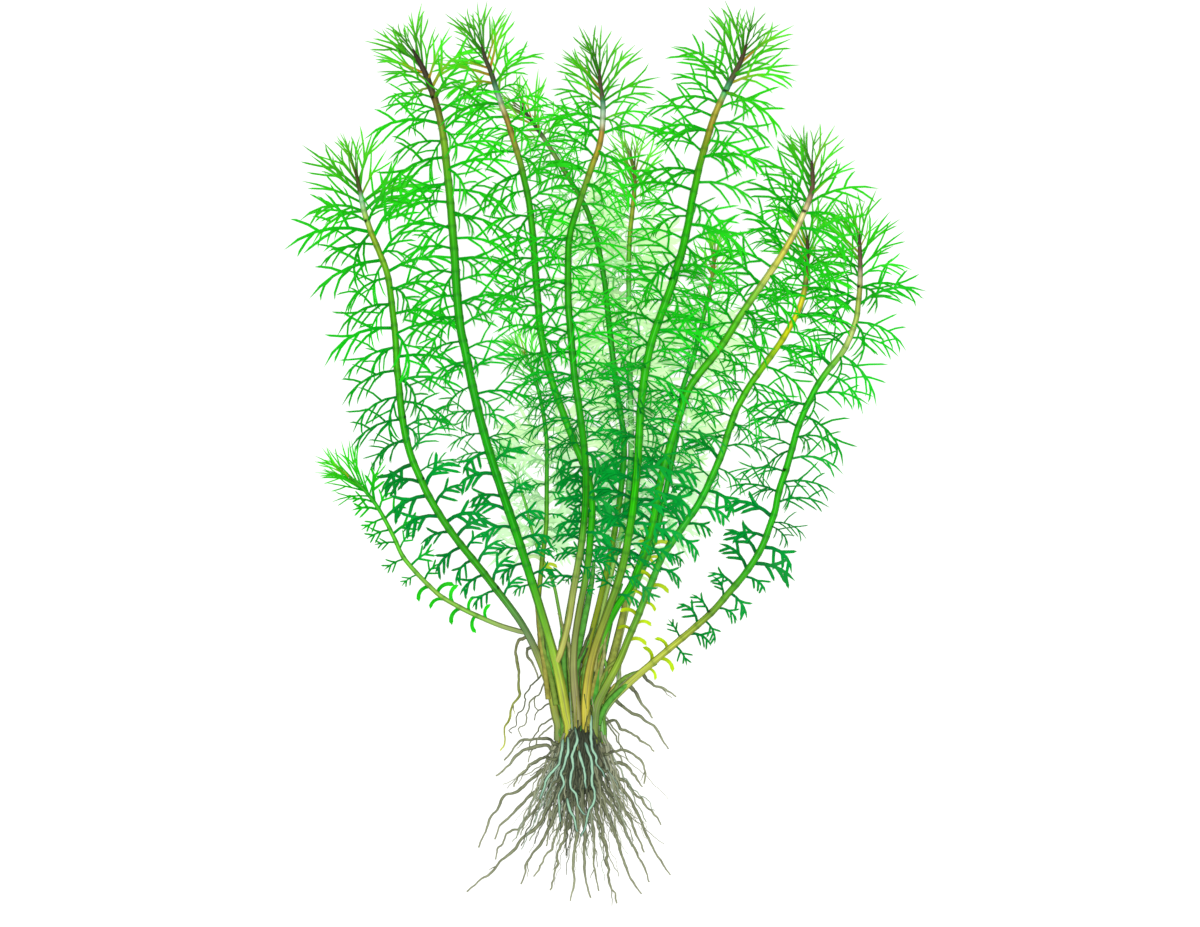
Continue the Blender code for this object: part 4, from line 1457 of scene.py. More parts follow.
SHOOTS = (
    Shoot(
        "edge_left_shoot", 0.0032, 1.22, (0.011, 0.017, 0.015), -0.064,
        ((0.0, 60, 50, 25), (0.035, 70, 80, 35), (0.05, 150, 205, 160), (0.075, 150, 190, 90),
         (0.11, 140, 168, 40), (0.2, 75, 174, 11), (0.42, 40, 174, 6), (0.72, 50, 157, 21),
         (0.83, 105, 130, 85), (0.91, 165, 175, 60), (1.0, 120, 140, 80)),
        ((354.5, 168), (356.5, 178), (360.3, 196), (363, 209.5), (367, 222), (371, 233.5), (375.5, 244),
         (380, 255), (385, 268), (388, 280), (390, 295), (392, 312), (394, 329), (395.3, 346), (396, 364),
         (397.8, 381), (399.3, 398), (400.8, 411), (403, 426), (406.5, 442.5), (411.4, 459), (418.3, 475),
         (425.5, 491), (434.5, 507.5), (445, 524), (456.5, 540), (469.3, 556), (482.6, 572.5), (495.2, 589),
         (507.7, 605), (519.5, 621.5), (528.8, 637.5), (536.6, 654), (543.5, 671), (551, 694), (555, 715)),
        seat=-0.0203, comb_leaves=2, seed=11,
    ),
    Shoot(
        "tall_left_shoot", 0.0038, 1.02, (0.0163, 0.031, 0.018), -0.062,
        ((0.0, 50, 42, 34), (0.06, 64, 56, 40), (0.08, 108, 98, 44), (0.11, 116, 140, 40),
         (0.14, 112, 168, 34), (0.2, 72, 176, 24), (0.32, 34, 166, 14), (0.6, 18, 162, 12),
         (0.74, 40, 166, 20), (0.84, 120, 176, 50), (0.9, 170, 188, 64), (1.0, 184, 186, 60)),
        ((412, 48), (424, 70.5), (430, 86), (435.5, 101.5), (439.3, 116.5), (442.3, 132), (444.5, 147),
         (446, 162.5), (449.3, 193), (451.9, 224), (454.4, 254.5), (456.5, 288), (460.2, 326.5), (465.5, 352),
         (470.7, 378), (476.3, 403), (482.7, 428.5), (495, 470), (520, 545), (545, 625), (556, 664),
         (562, 692), (566, 715)),
        seat=-0.0154, straps_below=-0.058, strap_age=0.94, comb_leaves=2, 
        seed=12,
    ),
    Shoot(
        "tall_mid_left_shoot", 0.0031, 0.9, (0.0163, 0.034, 0.02), -0.05,
        ((0.0, 60, 50, 40), (0.05, 64, 70, 48), (0.06, 64, 124, 92), (0.078, 150, 186, 152),
         (0.092, 188, 186, 130), (0.105, 150, 125, 52), (0.13, 150, 130, 50), (0.155, 140, 152, 50),
         (0.19, 54, 160, 16), (0.32, 34, 170, 12), (0.7, 42, 168, 12), (0.8, 122, 142, 64),
         (0.92, 148, 148, 96), (1.0, 146, 148, 88)),
        ((481.5, 43), (484.5, 56), (490.4, 70.5), (495.3, 86), (500.3, 101.5), (506, 116.5), (511, 132),
         (515.6, 147), (520.2, 162.5), (523.8, 178), (527.2, 193), (529.9, 208.5), (533.2, 239), (535.4, 270),
         (537.9, 301), (540, 326.5), (544.5, 352), (551, 378), (559.5, 403), (569, 429), (576.5, 448),
         (583, 463), (589, 481), (591.8, 500), (592, 515), (590.5, 535), (588.3, 561), (584.5, 585),
         (579.5, 610), (575.5, 635), (574, 650), (573.5, 670), (575, 695), (577, 715)),
        seat=-0.0116, seed=13,
    ),
    Shoot(
        "centre_shoot", 0.0031, 0.9, (0.0196, 0.044, 0.024), -0.06,
        ((0.0, 66, 52, 40), (0.045, 80, 76, 54), (0.055, 66, 130, 96), (0.07, 150, 186, 154),
         (0.09, 186, 196, 164), (0.105, 172, 136, 58), (0.13, 166, 140, 44), (0.165, 148, 158, 44),
         (0.2, 104, 158, 44), (0.25, 46, 166, 16), (0.45, 26, 158, 10), (0.75, 34, 158, 12),
         (0.87, 150, 168, 84), (1.0, 186, 186, 92)),
        ((599, 68), (600.5, 86), (602.9, 101.5), (602.9, 116.5), (601.8, 132), (598.8, 147), (593.3, 162.5),
         (582.7, 193), (572.6, 224), (569.5, 239), (568.3, 254.5), (568.3, 301), (570.2, 326.5),
         (574.7, 377.5), (578.5, 403), (584, 446), (585.5, 469), (585.7, 490), (585.2, 505), (583.5, 527),
         (580.5, 550), (576.5, 573), (572.5, 596), (569, 619), (566.7, 630), (563.8, 642), (559.9, 655)),
        forks_from="tall_left_shoot", seed=14,
    ),
    Shoot(
        "tall_right_shoot", 0.0035, 1.06, (0.0163, 0.046, 0.022), -0.058,
        ((0.0, 62, 46, 32), (0.05, 84, 78, 54), (0.058, 60, 128, 90), (0.075, 92, 178, 104),
         (0.088, 166, 160, 60), (0.12, 156, 142, 44), (0.15, 126, 156, 34), (0.18, 72, 172, 16),
         (0.23, 42, 178, 12), (0.65, 40, 178, 6), (0.78, 112, 152, 50), (0.87, 158, 152, 62),
         (0.94, 198, 188, 66), (1.0, 190, 178, 60)),
        ((747, 43), (742.7, 56), (739, 64.5), (734, 74), (729.8, 82), (721.6, 99), (714.3, 116),
         (708.8, 133.5), (703.8, 150.5), (699, 168), (695.4, 185), (691.6, 202), (689, 219.5), (685.4, 236.5),
         (681.3, 254), (675.8, 271), (670.8, 288), (654, 334), (646, 366), (642, 395), (640, 418),
         (638.5, 446), (636.5, 474), (633.5, 502), (629.5, 530), (624.5, 558), (617.5, 584), (609, 608),
         (601, 630), (595, 648), (590, 668), (587, 688), (585.5, 706)),
        seat=-0.0077, comb_leaves=2, seed=15,
    ),
    Shoot(
        "cream_right_shoot", 0.0033, 1.02, (0.011, 0.038, 0.024), -0.058,
        ((0.0, 58, 46, 34), (0.05, 104, 80, 60), (0.065, 186, 160, 120), (0.09, 222, 212, 150),
         (0.13, 206, 194, 80), (0.17, 206, 206, 84), (0.2, 204, 210, 104), (0.23, 130, 194, 60),
         (0.29, 80, 186, 26), (0.45, 40, 178, 6), (0.8, 46, 176, 18), (0.9, 128, 150, 60),
         (1.0, 120, 130, 60)),
        ((812, 160), (813, 182), (810, 198), (799, 224), (789, 243), (777.6, 261.5), (765.3, 279.5),
         (752.7, 297.5), (740.2, 316), (729.2, 334), (717, 352), (699, 374), (688, 391), (679, 417),
         (670, 446), (662, 474), (656.5, 502), (651, 530), (642, 558), (631, 586), (617, 607), (606, 630),
         (598, 655), (593, 685), (591, 712)),
        seat=-0.0058, comb_leaves=2, seed=16,
    ),
    Shoot(
        "yellow_right_shoot", 0.0031, 0.84, (0.0163, 0.028, 0.02), -0.08,
        ((0.0, 60, 44, 30), (0.06, 84, 70, 40), (0.07, 150, 150, 50), (0.085, 96, 104, 50),
         (0.11, 206, 196, 40), (0.17, 206, 204, 14), (0.22, 150, 196, 20), (0.28, 76, 186, 16),
         (0.5, 32, 176, 26), (0.68, 66, 170, 50), (0.84, 138, 172, 54), (0.93, 110, 138, 70),
         (1.0, 140, 158, 66)),
        ((808, 235), (808, 252), (807.3, 268), (805.8, 285), (803, 298), (798.5, 311), (792, 323.5),
         (786, 334), (779, 345), (771, 356), (755, 378), (748, 388.5), (741.8, 399.5), (736, 410.5),
         (728.5, 432), (722.5, 452), (712, 477), (704, 494), (696.5, 507.5), (689, 518), (682, 528),
         (675, 538), (668, 548), (661.5, 558), (653.5, 578), (645, 598.5), (637, 619), (628.5, 639),
         (620.5, 659), (612, 676), (604.5, 690), (597, 706)),
        seat=-0.0038, straps_below=-0.05, strap_age=0.9, comb_below=-0.008,
        comb_leaves=2, seed=17,
    ),
    Shoot(
        "leaning_shoot", 0.0026, 0.62, (0.011, 0.026, 0.012), -0.055,
        ((0.0, 50, 50, 38), (0.05, 64, 70, 46), (0.06, 112, 132, 84), (0.085, 104, 132, 66),
         (0.12, 84, 132, 50), (0.16, 50, 148, 22), (0.22, 36, 154, 22), (0.6, 24, 148, 22),
         (0.8, 130, 150, 34), (1.0, 120, 126, 50)),
        ((521, 105), (534, 123), (547, 142), (569, 177.5), (578, 193), (586.5, 208.5), (592, 224),
         (596.5, 239), (600, 254.5), (603, 272), (605.5, 288), (609.5, 328), (617, 391), (624, 440),
         (621, 490), (612, 547), (600, 600), (589, 645), (581, 690), (578, 715)),
        seat=-0.0115, leaf=LeafForm.SPARSE, seed=18,
    ),
    Shoot(
        "straight_back_shoot", 0.0026, 0.65, (0.0055, 0.0125, 0.011), -0.055,
        ((0.0, 50, 76, 40), (0.035, 110, 96, 40), (0.07, 150, 150, 44), (0.11, 128, 158, 36),
         (0.16, 84, 176, 40), (0.26, 92, 184, 84), (0.55, 96, 184, 84), (0.7, 140, 188, 84),
         (0.86, 156, 174, 84), (1.0, 100, 120, 84)),
        ((634, 160), (635, 180), (633, 205), (629, 257), (630, 372), (631, 458), (624, 520), (612, 570),
         (600, 620), (590, 670), (585, 715)),
        seat=-0.0085, leaf=LeafForm.SPARSE, seed=19,
    ),
    Shoot(
        "small_right_shoot", 0.0025, 0.6, (0.0055, 0.015, 0.012), -0.052,
        ((0.0, 90, 84, 50), (0.03, 130, 124, 46), (0.08, 84, 160, 40), (0.14, 40, 174, 26),
         (0.3, 22, 168, 24), (0.55, 20, 160, 26), (0.66, 80, 166, 44), (0.76, 170, 190, 108),
         (0.88, 116, 150, 66), (1.0, 104, 130, 66)),
        ((716, 252), (711, 286), (702, 324), (692, 363), (684, 385), (679, 415), (675, 446), (669.5, 474),
         (664, 502), (657.5, 530), (648, 558), (636, 586), (627.5, 607), (622, 630), (616.5, 653), (609, 680),
         (601, 700), (596, 715)),
        seat=-0.0035, straps_below=-0.03, strap_age=0.92, leaf=LeafForm.SPARSE, seed=20,
    ),
    Shoot(
        "edge_right_shoot", 0.003, 1.02, (0.011, 0.017, 0.014), -0.094,
        ((0.0, 60, 44, 34), (0.055, 104, 84, 62), (0.07, 176, 168, 130), (0.1, 156, 164, 70),
         (0.14, 160, 190, 80), (0.18, 190, 204, 116), (0.22, 120, 192, 60), (0.27, 40, 184, 16),
         (0.5, 38, 178, 16), (0.62, 54, 168, 24), (0.7, 112, 160, 44), (0.78, 176, 190, 66),
         (0.88, 184, 196, 80), (0.94, 138, 180, 96), (1.0, 112, 190, 104)),
        ((860.3, 233), (861, 252), (861.3, 270), (860.8, 288), (859.3, 303), (857.8, 316), (854.5, 327),
         (850.5, 338), (844.5, 350), (837, 360), (829, 369.5), (818.2, 385), (812, 397), (806.5, 408),
         (802, 419), (797.5, 431), (794, 444), (790.5, 456.5), (786, 472), (781.5, 485), (778.3, 497),
         (775.8, 510.5), (770, 527.5), (763.5, 545), (754.3, 561.5), (744.7, 575), (736.6, 585), (727.8, 595),
         (713.5, 611.5), (697.5, 626), (684, 637.5), (663.6, 654.5), (640, 674.5), (624.8, 688), (612.7, 700),
         (605.5, 709.5), (601.8, 718)),
        seat=0.0, straps_below=-0.083, strap_age=0.88, comb_below=-0.028,
        comb_leaves=2, freshness=-0.07, seed=21,
    ),
    Shoot(
        "short_left_shoot", 0.0022, 0.55, (0.0055, 0.011, 0.01), -0.05,
        ((0.0, 60, 130, 34), (0.1, 40, 170, 30), (0.35, 56, 160, 22), (0.55, 108, 154, 32),
         (0.7, 124, 140, 34), (0.85, 124, 134, 52), (1.0, 160, 166, 70)),
        ((524, 352), (533.6, 375), (540.1, 398.5), (544.3, 422), (546.6, 446), (546.5, 481), (546.3, 517),
         (545.3, 535), (542.5, 555), (540, 580), (538, 607), (539, 630), (543, 650), (553, 685), (562, 715)),
        seat=-0.017, straps_below=-0.044, strap_age=0.94, leaf=LeafForm.SPARSE, seed=22,
    ),
    Shoot(
        "seedling_shoot", 0.0016, 0.42, (0.0055, 0.0075, 0.007), -0.04,
        ((0.0, 90, 192, 66), (0.4, 100, 182, 56), (0.8, 120, 120, 60), (1.0, 110, 100, 50)),
        ((507, 458), (515, 470), (519.5, 487), (525.4, 505), (530.9, 528.5), (538.4, 552), (546, 567),
         (551.2, 578.5), (554.7, 590), (557, 601.5), (561, 624.5), (567, 670), (573, 715)),
        seat=-0.0128, leaf=LeafForm.SPARSE, seed=23,
    ),
    Shoot(
        "low_side_shoot", 0.0023, 0.62, (0.012, 0.01, 0.008), -0.075,
        ((0.0, 50, 142, 26), (0.15, 50, 184, 26), (0.35, 86, 192, 36), (0.6, 136, 192, 70),
         (0.8, 126, 186, 70), (0.9, 160, 188, 104), (1.0, 140, 164, 104)),
        ((347, 476), (358, 485), (368, 496), (376.5, 507.5), (386, 524), (394, 540), (401.7, 556.5),
         (414.7, 572.5), (431, 589), (441, 597.5), (455.5, 606), (470, 613.5), (497.6, 625.4),
         (517.7, 631.7)),
        forks_from="edge_left_shoot", straps_below=-0.054, strap_age=0.36, comb_below=-0.03,
        comb_leaves=2, leaf=LeafForm.LOBED, freshness=0.1, seed=24,
    ),
)

LEAVES = LeafFinish(
    "milfoil leaf",
    (
        (0.0, 52, 112, 24), (0.06, 50, 132, 22), (0.11, 52, 148, 22), (0.19, 38, 156, 18),
        (0.27, 14, 163, 14), (0.36, 2, 162, 16), (0.46, 0, 150, 24), (0.58, 0, 130, 40),
        (0.75, 0, 92, 46), (0.83, 120, 156, 16), (1.0, 164, 166, 14),
    ),
    (
        (0.0, 98, 204, 36), (0.1, 80, 204, 28), (0.2, 56, 204, 20), (0.32, 36, 199, 18),
        (0.45, 20, 189, 24), (0.58, 6, 160, 42), (0.75, 0, 138, 54), (0.83, 160, 208, 14),
        (1.0, 200, 210, 30),
    ),
)
PALE_LEAVES = LeafFinish(
    "pale milfoil leaf",
    (
        (0.0, 72, 70, 34), (0.06, 90, 104, 44), (0.11, 128, 138, 52), (0.19, 96, 168, 50),
        (0.27, 56, 178, 40), (0.36, 46, 182, 44), (0.46, 36, 170, 46), (0.58, 10, 134, 48),
        (0.75, 4, 94, 50), (0.83, 134, 168, 24), (1.0, 176, 178, 34),
    ),
    (
        (0.0, 122, 224, 70), (0.1, 104, 226, 54), (0.2, 84, 224, 44), (0.32, 68, 218, 46),
        (0.45, 48, 206, 52), (0.58, 24, 184, 58), (0.75, 4, 156, 58), (0.83, 166, 210, 34),
        (1.0, 200, 212, 60),
    ),
    wash=(198, 236, 186),
)
FAR_LEAVES = LeafFinish(
    "far milfoil leaf",
    ((0.0, 186, 236, 168), (0.4, 186, 232, 160), (0.7, 176, 222, 164), (1.0, 186, 226, 168)),
    ((0.0, 212, 246, 186), (0.4, 210, 244, 188), (0.7, 200, 236, 194), (1.0, 210, 240, 190)),
    variety=0.05,
)
# The flank values set the painted shade on each root's sides; on the mint roots it is strong, a dark edge
# along each.
OLIVE_ROOT = RootFinish(
    "olive root",
    ((0.0, 84, 92, 66), (0.2, 118, 124, 94), (0.7, 134, 140, 110), (1.0, 146, 150, 120)),
    flank_shade=0.5,
)
YELLOW_TIPPED_ROOT = RootFinish(
    "yellow-tipped root",
    ((0.0, 110, 110, 80), (0.4, 118, 128, 72), (0.85, 144, 152, 60), (1.0, 190, 198, 90)),
)
MINT_ROOT = RootFinish(
    "mint root",
    ((0.0, 110, 150, 126), (0.15, 156, 200, 170), (0.8, 154, 198, 170), (1.0, 120, 156, 136)),
    flank_shade=0.16, flank_shade_reach=0.88, flank_shade_soft=0.28, blotch=(0.9, 1.08),
)
HAIR_ROOT = RootFinish(
    "hair root",
    ((0.0, 70, 76, 58), (0.4, 112, 118, 92), (1.0, 146, 150, 122)),
    kinds=((0.0, 34, 40, 34), (0.3, 70, 78, 60), (0.5, 132, 138, 108), (0.8, 166, 170, 142),
           (1.0, 146, 168, 150)),
    flank_shade=0.66, flank_shade_reach=0.72, blotch=(0.84, 1.15),
)
FIBRE = RootFinish(
    "base fibre",
    ((0.0, 110, 116, 60), (0.5, 120, 128, 70), (1.0, 96, 112, 66)),
    kinds=((0.0, 52, 58, 40), (0.15, 84, 110, 50), (0.32, 60, 166, 48), (0.5, 110, 150, 50),
           (0.68, 152, 146, 60), (0.85, 180, 176, 84), (1.0, 116, 148, 124)),
    blotch=(0.7, 1.2), roughness=0.7,
)

# Broad old leaf bases between the stems: half width in mm, tint, and the way up from the crown.
BLADES = (
    (1.9, 0.60, ((600, 704), (604, 690), (610, 668), (616, 645), (622, 620), (627, 598), (630, 584))),
    (1.7, 0.32, ((594, 706), (596, 688), (601, 664), (606, 640), (611, 618), (616, 600), (622, 584))),
    (1.7, 0.30, ((575, 706), (575, 680), (578, 652), (583, 626), (588, 602), (592, 580), (594, 560))),
    (1.4, 0.52, ((556, 706), (551, 680), (545, 655), (541, 632), (538, 612), (536, 594))),
    (1.2, 0.50, ((573, 712), (571, 690), (569, 665), (568, 640), (566, 622))),
    (1.4, 0.34, ((598, 726), (601, 717), (608, 704), (622, 690), (638, 677), (650, 668))),
    (1.3, 0.45, ((583, 706), (584, 680), (588, 655), (594, 632), (600, 610))),
    (1.2, 0.16, ((588, 712), (590, 690), (596, 668), (602, 650))),
    (1.2, 0.84, ((595, 712), (600, 690), (606, 672), (612, 655), (618, 640))),
    (1.5, 0.66, ((590, 700), (597, 670), (605, 640), (611, 612), (617, 590), (624, 566))),
    (1.3, 0.26, ((566, 700), (564, 672), (564, 645), (567, 620), (570, 600), (572, 584))),
    (1.2, 0.70, ((548, 700), (545, 672), (541, 645), (538, 620), (535, 600))),
)


@dataclass
class Crown:
    """The knot between stems and roots: a lumpy core under a skin of fibres."""

    garden: Garden
    shoots: dict[str, Shoot]
    rings: int = 40
    sides: int = 72
    ridge: float = 0.0009
    fibres: int = 150
    fibre_lengths: Span = (0.004, 0.022)
    fibre_widths: Span = (0.00022, 0.00080)
    fibre_sides: int = 6
    sheath_count: int = 130
    broad_rises: Span = (0.020, 0.060)
    broad_widths: Span = (0.0010, 0.0017)
    thin_rises: Span = (0.010, 0.040)
    thin_widths: Span = (0.0004, 0.0008)
    blade_heights: Span = (0.0150, 0.0105)
    sheath_sides: int = 8
    seed: int = 51

    def reach(self, angle: float, down: float) -> float:
        """Work out how far the core reaches from its axis, with its ribs and lumps.

        Args:
            angle: The direction round the axis.
            down: The distance below the crown's top.

        Returns:
            The reach in metres.
        """
        rib = noise.noise(Vector((cos(angle) * 4.5, sin(angle) * 4.5, down * 60.0)))
        lump = noise.noise(Vector((cos(angle), sin(angle), down * 140.0)))
        half = max(crown_radius(down), 0.0004)
        reach = half - self.ridge + self.ridge * (0.9 * rib + 0.5 * lump)
        return reach * (0.62 + 0.38 * smooth(down / 0.006))

    def core(self) -> Piece:
        """Build the core, ribbed down its length.

        Returns:
            The core piece.
        """
        work = bmesh.new()
        grid = []
        for i in range(self.rings + 1):
            down = CROWN_PROFILE[-1][0] * i / self.rings
            row = []
            for j in range(self.sides):
                angle = math.tau * j / self.sides
                reach = self.reach(angle, down)
                x = CROWN_MIDDLE.x + reach * cos(angle)
                z = CROWN_MIDDLE.z + reach * sin(angle) * CROWN_FLATNESS
                row.append(work.verts.new((x, CROWN_TOP - down, z)))
            grid.append(row)
        for upper, lower in zip(grid, grid[1:]):
            for j in range(self.sides):
                k = (j + 1) % self.sides
                work.faces.new((upper[j], upper[k], lower[k], lower[j]))
        work.faces.new(grid[0])
        work.faces.new(list(reversed(grid[-1])))
        bmesh.ops.recalc_face_normals(work, faces=work.faces)
        mesh = bpy.data.meshes.new("crown_core")
        work.to_mesh(mesh)
        work.free()
        mesh.shade_smooth()
        mesh.materials.append(CrownFinish().material())
        return stand("crown_core", mesh)

    def collar(self) -> Piece:
        """Build the short fibres that fill the gaps between the feet of the stems.

        Returns:
            The collar piece.
        """
        rng = Dice(self.seed)
        strands = []
        for _ in range(self.fibres):
            angle = rng.uniform(0.0, math.tau)
            share = math.sqrt(rng.random()) * 0.92
            x = CROWN_MIDDLE.x + CROWN_HALF_WIDTH * share * cos(angle)
            z = CROWN_MIDDLE.z + CROWN_HALF_WIDTH * share * sin(angle) * CROWN_FLATNESS
            top = rng.uniform(*self.fibre_lengths)
            foot = Vector((x, CROWN_TOP - rng.uniform(0.001, 0.004), z))
            lean = rng.uniform(-0.0022, 0.0022) - 0.10 * top * (share * cos(angle))
            tip = foot + Vector((lean, top, rng.uniform(-0.0015, 0.0015)))
            tip.z = max(tip.z, 0.0008)
            swing = Vector((rng.uniform(-1, 1), 0.0, rng.uniform(-1, 1))) * 0.0010
            line = curve_through(np.array([foot, foot.lerp(tip, 0.5) + swing, tip]))[::3]
            width = rng.uniform(*self.fibre_widths)
            strands.append(Strand(line, np.linspace(width, width * 0.4, len(line)), rng.random()))
        return self.garden.skin("crown_collar", strands, self.fibre_sides, FIBRE.material())

    def sheaths(self) -> Piece:
        """Build the old sheaths that run up from the crown between neighbouring stems.

        Returns:
            The sheaths' piece.
        """
        rng = Dice(self.seed + 1)
        seated = sorted((s for s in self.shoots.values() if s.seat is not None), key=lambda s: s.seat)
        strands = []
        for _ in range(self.sheath_count):
            first = rng.randrange(len(seated) - 1)
            near, far = seated[first], seated[first + 1]
            if rng.random() < 0.5:
                near, far = far, near
            is_broad = rng.random() < 0.5
            rise = rng.uniform(*(self.broad_rises if is_broad else self.thin_rises))
            off = rng.uniform(0.20, 0.75)
            points = []
            for share in np.linspace(0.0, 1.0, 12):
                a, b = (shoot.line.place(shoot.line.length - share * rise) for shoot in (near, far))
                lean = off * (1.0 - smooth((share - 0.60) / 0.40))
                points.append(a + (b - a) * lean + (0.0, -0.002, 0.0005 * (1.0 - share)))
            line = wiggled(np.array(points), 0.00025, 0.012, rng)
            width = rng.uniform(*(self.broad_widths if is_broad else self.thin_widths))
            shares = np.linspace(0.0, 1.0, len(line))
            strands.append(Strand(line, width * (1.0 - 0.75 * shares**2), rng.random()))
        for half_width, tint, route in BLADES:
            line = curve_through(on_grid(route))
            line[:, 2] = np.linspace(*self.blade_heights, len(line))
            shares = np.linspace(0.0, 1.0, len(line))
            strands.append(Strand(line, half_width / 1000.0 * (1.0 - 0.6 * shares**3), tint))
        return self.garden.skin("base_sheaths", strands, self.sheath_sides, FIBRE.material())

    def build(self) -> None:
        """Build the crown's pieces."""
        settle(self.core(), "crown", CROWN)
        settle(self.collar(), "crown")
        settle(self.sheaths(), "crown")


@dataclass(frozen=True)
class RootPlan:
    """One traced root: what carries it, its slope in degrees where it leaves, and its route."""

    carrier: str
    lift: float
    route: tuple[GridPoint, ...]


MAIN_ROOTS = tuple(RootPlan(*row) for row in (
    ("edge_left_shoot", -20, ((518, 642), (515, 655), (518, 668), (518, 685), (519, 696), (512, 707),
        (509, 719), (504, 731), (504, 744), (500, 753))),
    ("edge_left_shoot", 10, ((527, 650), (527, 657), (532, 665), (536, 673), (538, 681))),
    (CROWN, 20, ((548, 740), (535, 741), (522, 742), (514, 749), (504, 763))),
    (CROWN, -15, ((546, 747), (529, 750), (515, 758), (508, 768), (495, 778))),
    (CROWN, 22, ((543, 759), (533, 765), (521, 775), (513, 789))),
    (CROWN, -30, ((549, 768), (533, 779), (519, 792), (503, 799), (497, 811), (488, 823), (485, 834),
        (477, 850))),
    (CROWN, 5, ((551, 778), (540, 790), (528, 799), (519, 809), (508, 820), (499, 829), (494, 842))),
    (CROWN, 35, ((553, 786), (541, 804), (529, 818), (518, 831), (507, 836), (499, 850), (494, 862))),
    (CROWN, -25, ((556, 792), (547, 812), (536, 830), (522, 840), (515, 851), (500, 864), (489, 877),
        (479, 883), (466, 895))),
    (CROWN, 10, ((561, 799), (552, 823), (541, 845), (531, 858), (525, 868), (525, 876), (520, 887))),
    (CROWN, -30, ((566, 803), (561, 825), (550, 852), (541, 866), (534, 880))),
    (CROWN, 6, ((571, 806), (568, 830), (559, 852), (556, 868), (554, 880), (549, 893))),
    (CROWN, -10, ((577, 808), (577, 835), (573, 863), (574, 885), (570, 904))),
    (CROWN, 16, ((583, 808), (585, 835), (584, 860), (586, 885), (591, 901))),
    (CROWN, -30, ((589, 807), (594, 835), (594, 868), (599, 894))),
    (CROWN, 0, ((594, 804), (602, 832), (607, 857), (608, 876), (612, 892), (618, 906))),
    (CROWN, -25, ((599, 800), (611, 824), (619, 848), (625, 867), (633, 885), (642, 897))),
    (CROWN, 24, ((603, 796), (617, 816), (630, 843), (643, 867), (650, 885))),
    (CROWN, 0, ((606, 789), (620, 804), (631, 823), (637, 838), (645, 855))),
    (CROWN, -30, ((609, 781), (625, 794), (637, 814), (649, 842), (660, 862), (671, 878))),
    (CROWN, 25, ((611, 774), (625, 784), (637, 798), (648, 809), (655, 818), (662, 827))),
    (CROWN, -10, ((613, 764), (623, 766), (634, 775), (637, 783), (643, 789))),
    (CROWN, 25, ((613, 753), (624, 752), (635, 757), (643, 766), (646, 776), (644, 786))),
    ("edge_right_shoot", -10, ((614, 722), (622, 730), (632, 736), (641, 741), (648, 748), (655, 753))),
    ("edge_right_shoot", 10, ((622, 707), (631, 714), (639, 717), (646, 723), (655, 728), (660, 737),
        (669, 751))),
    ("edge_right_shoot", -10, ((648, 682), (655, 687), (662, 689), (670, 694), (677, 698))),
    ("edge_right_shoot", -15, ((636, 694), (640, 702), (645, 709), (649, 714), (653, 720))),
))
# The pale roots that run down over the front of the crown, and the solids that they stand for.
MINT_ROOTS = (
    (("root_28",), ((563, 740), (561, 754), (558, 766), (549, 776), (546, 782), (540, 800))),
    ((), ((568, 738), (568, 751), (564, 766), (561, 775), (564, 785), (559, 795), (559, 807), (560, 823))),
    (("root_29",), ((575, 728), (577, 742), (572, 755), (573, 766), (570, 785), (576, 796), (579, 809),
        (585, 816))),
    ((), ((567, 799), (569, 809), (574, 820), (577, 833))),
    ((), ((579, 751), (581, 761), (584, 769), (585, 780), (586, 789))),
    (("root_30",), ((585, 743), (589, 754), (592, 765), (592, 785), (595, 794), (593, 805), (588, 814),
        (586, 826), (581, 838))),
    ((), ((591, 716), (591, 735), (592, 749), (596, 756), (596, 763), (602, 772), (605, 778))),
)
# Thin roots beside the base that have no solid of their own.
THIN_ROOTS = (
    ((541, 676), (538, 680), (526, 693), (525, 702), (522, 711), (515, 720), (516, 727), (508, 733),
        (511, 736)),
    ((535, 698), (529, 705), (525, 725), (519, 729), (520, 739)),
    ((544, 684), (540, 693), (535, 700), (534, 708), (538, 713)),
    ((552, 704), (543, 708), (536, 715), (534, 722)),
    ((553, 719), (545, 724), (538, 731), (529, 747), (528, 754)),
    ((552, 727), (541, 736), (533, 750), (527, 764)),
    ((604, 716), (612, 727), (618, 736), (621, 752)),
    ((607, 724), (614, 735), (622, 750), (629, 762)),
)


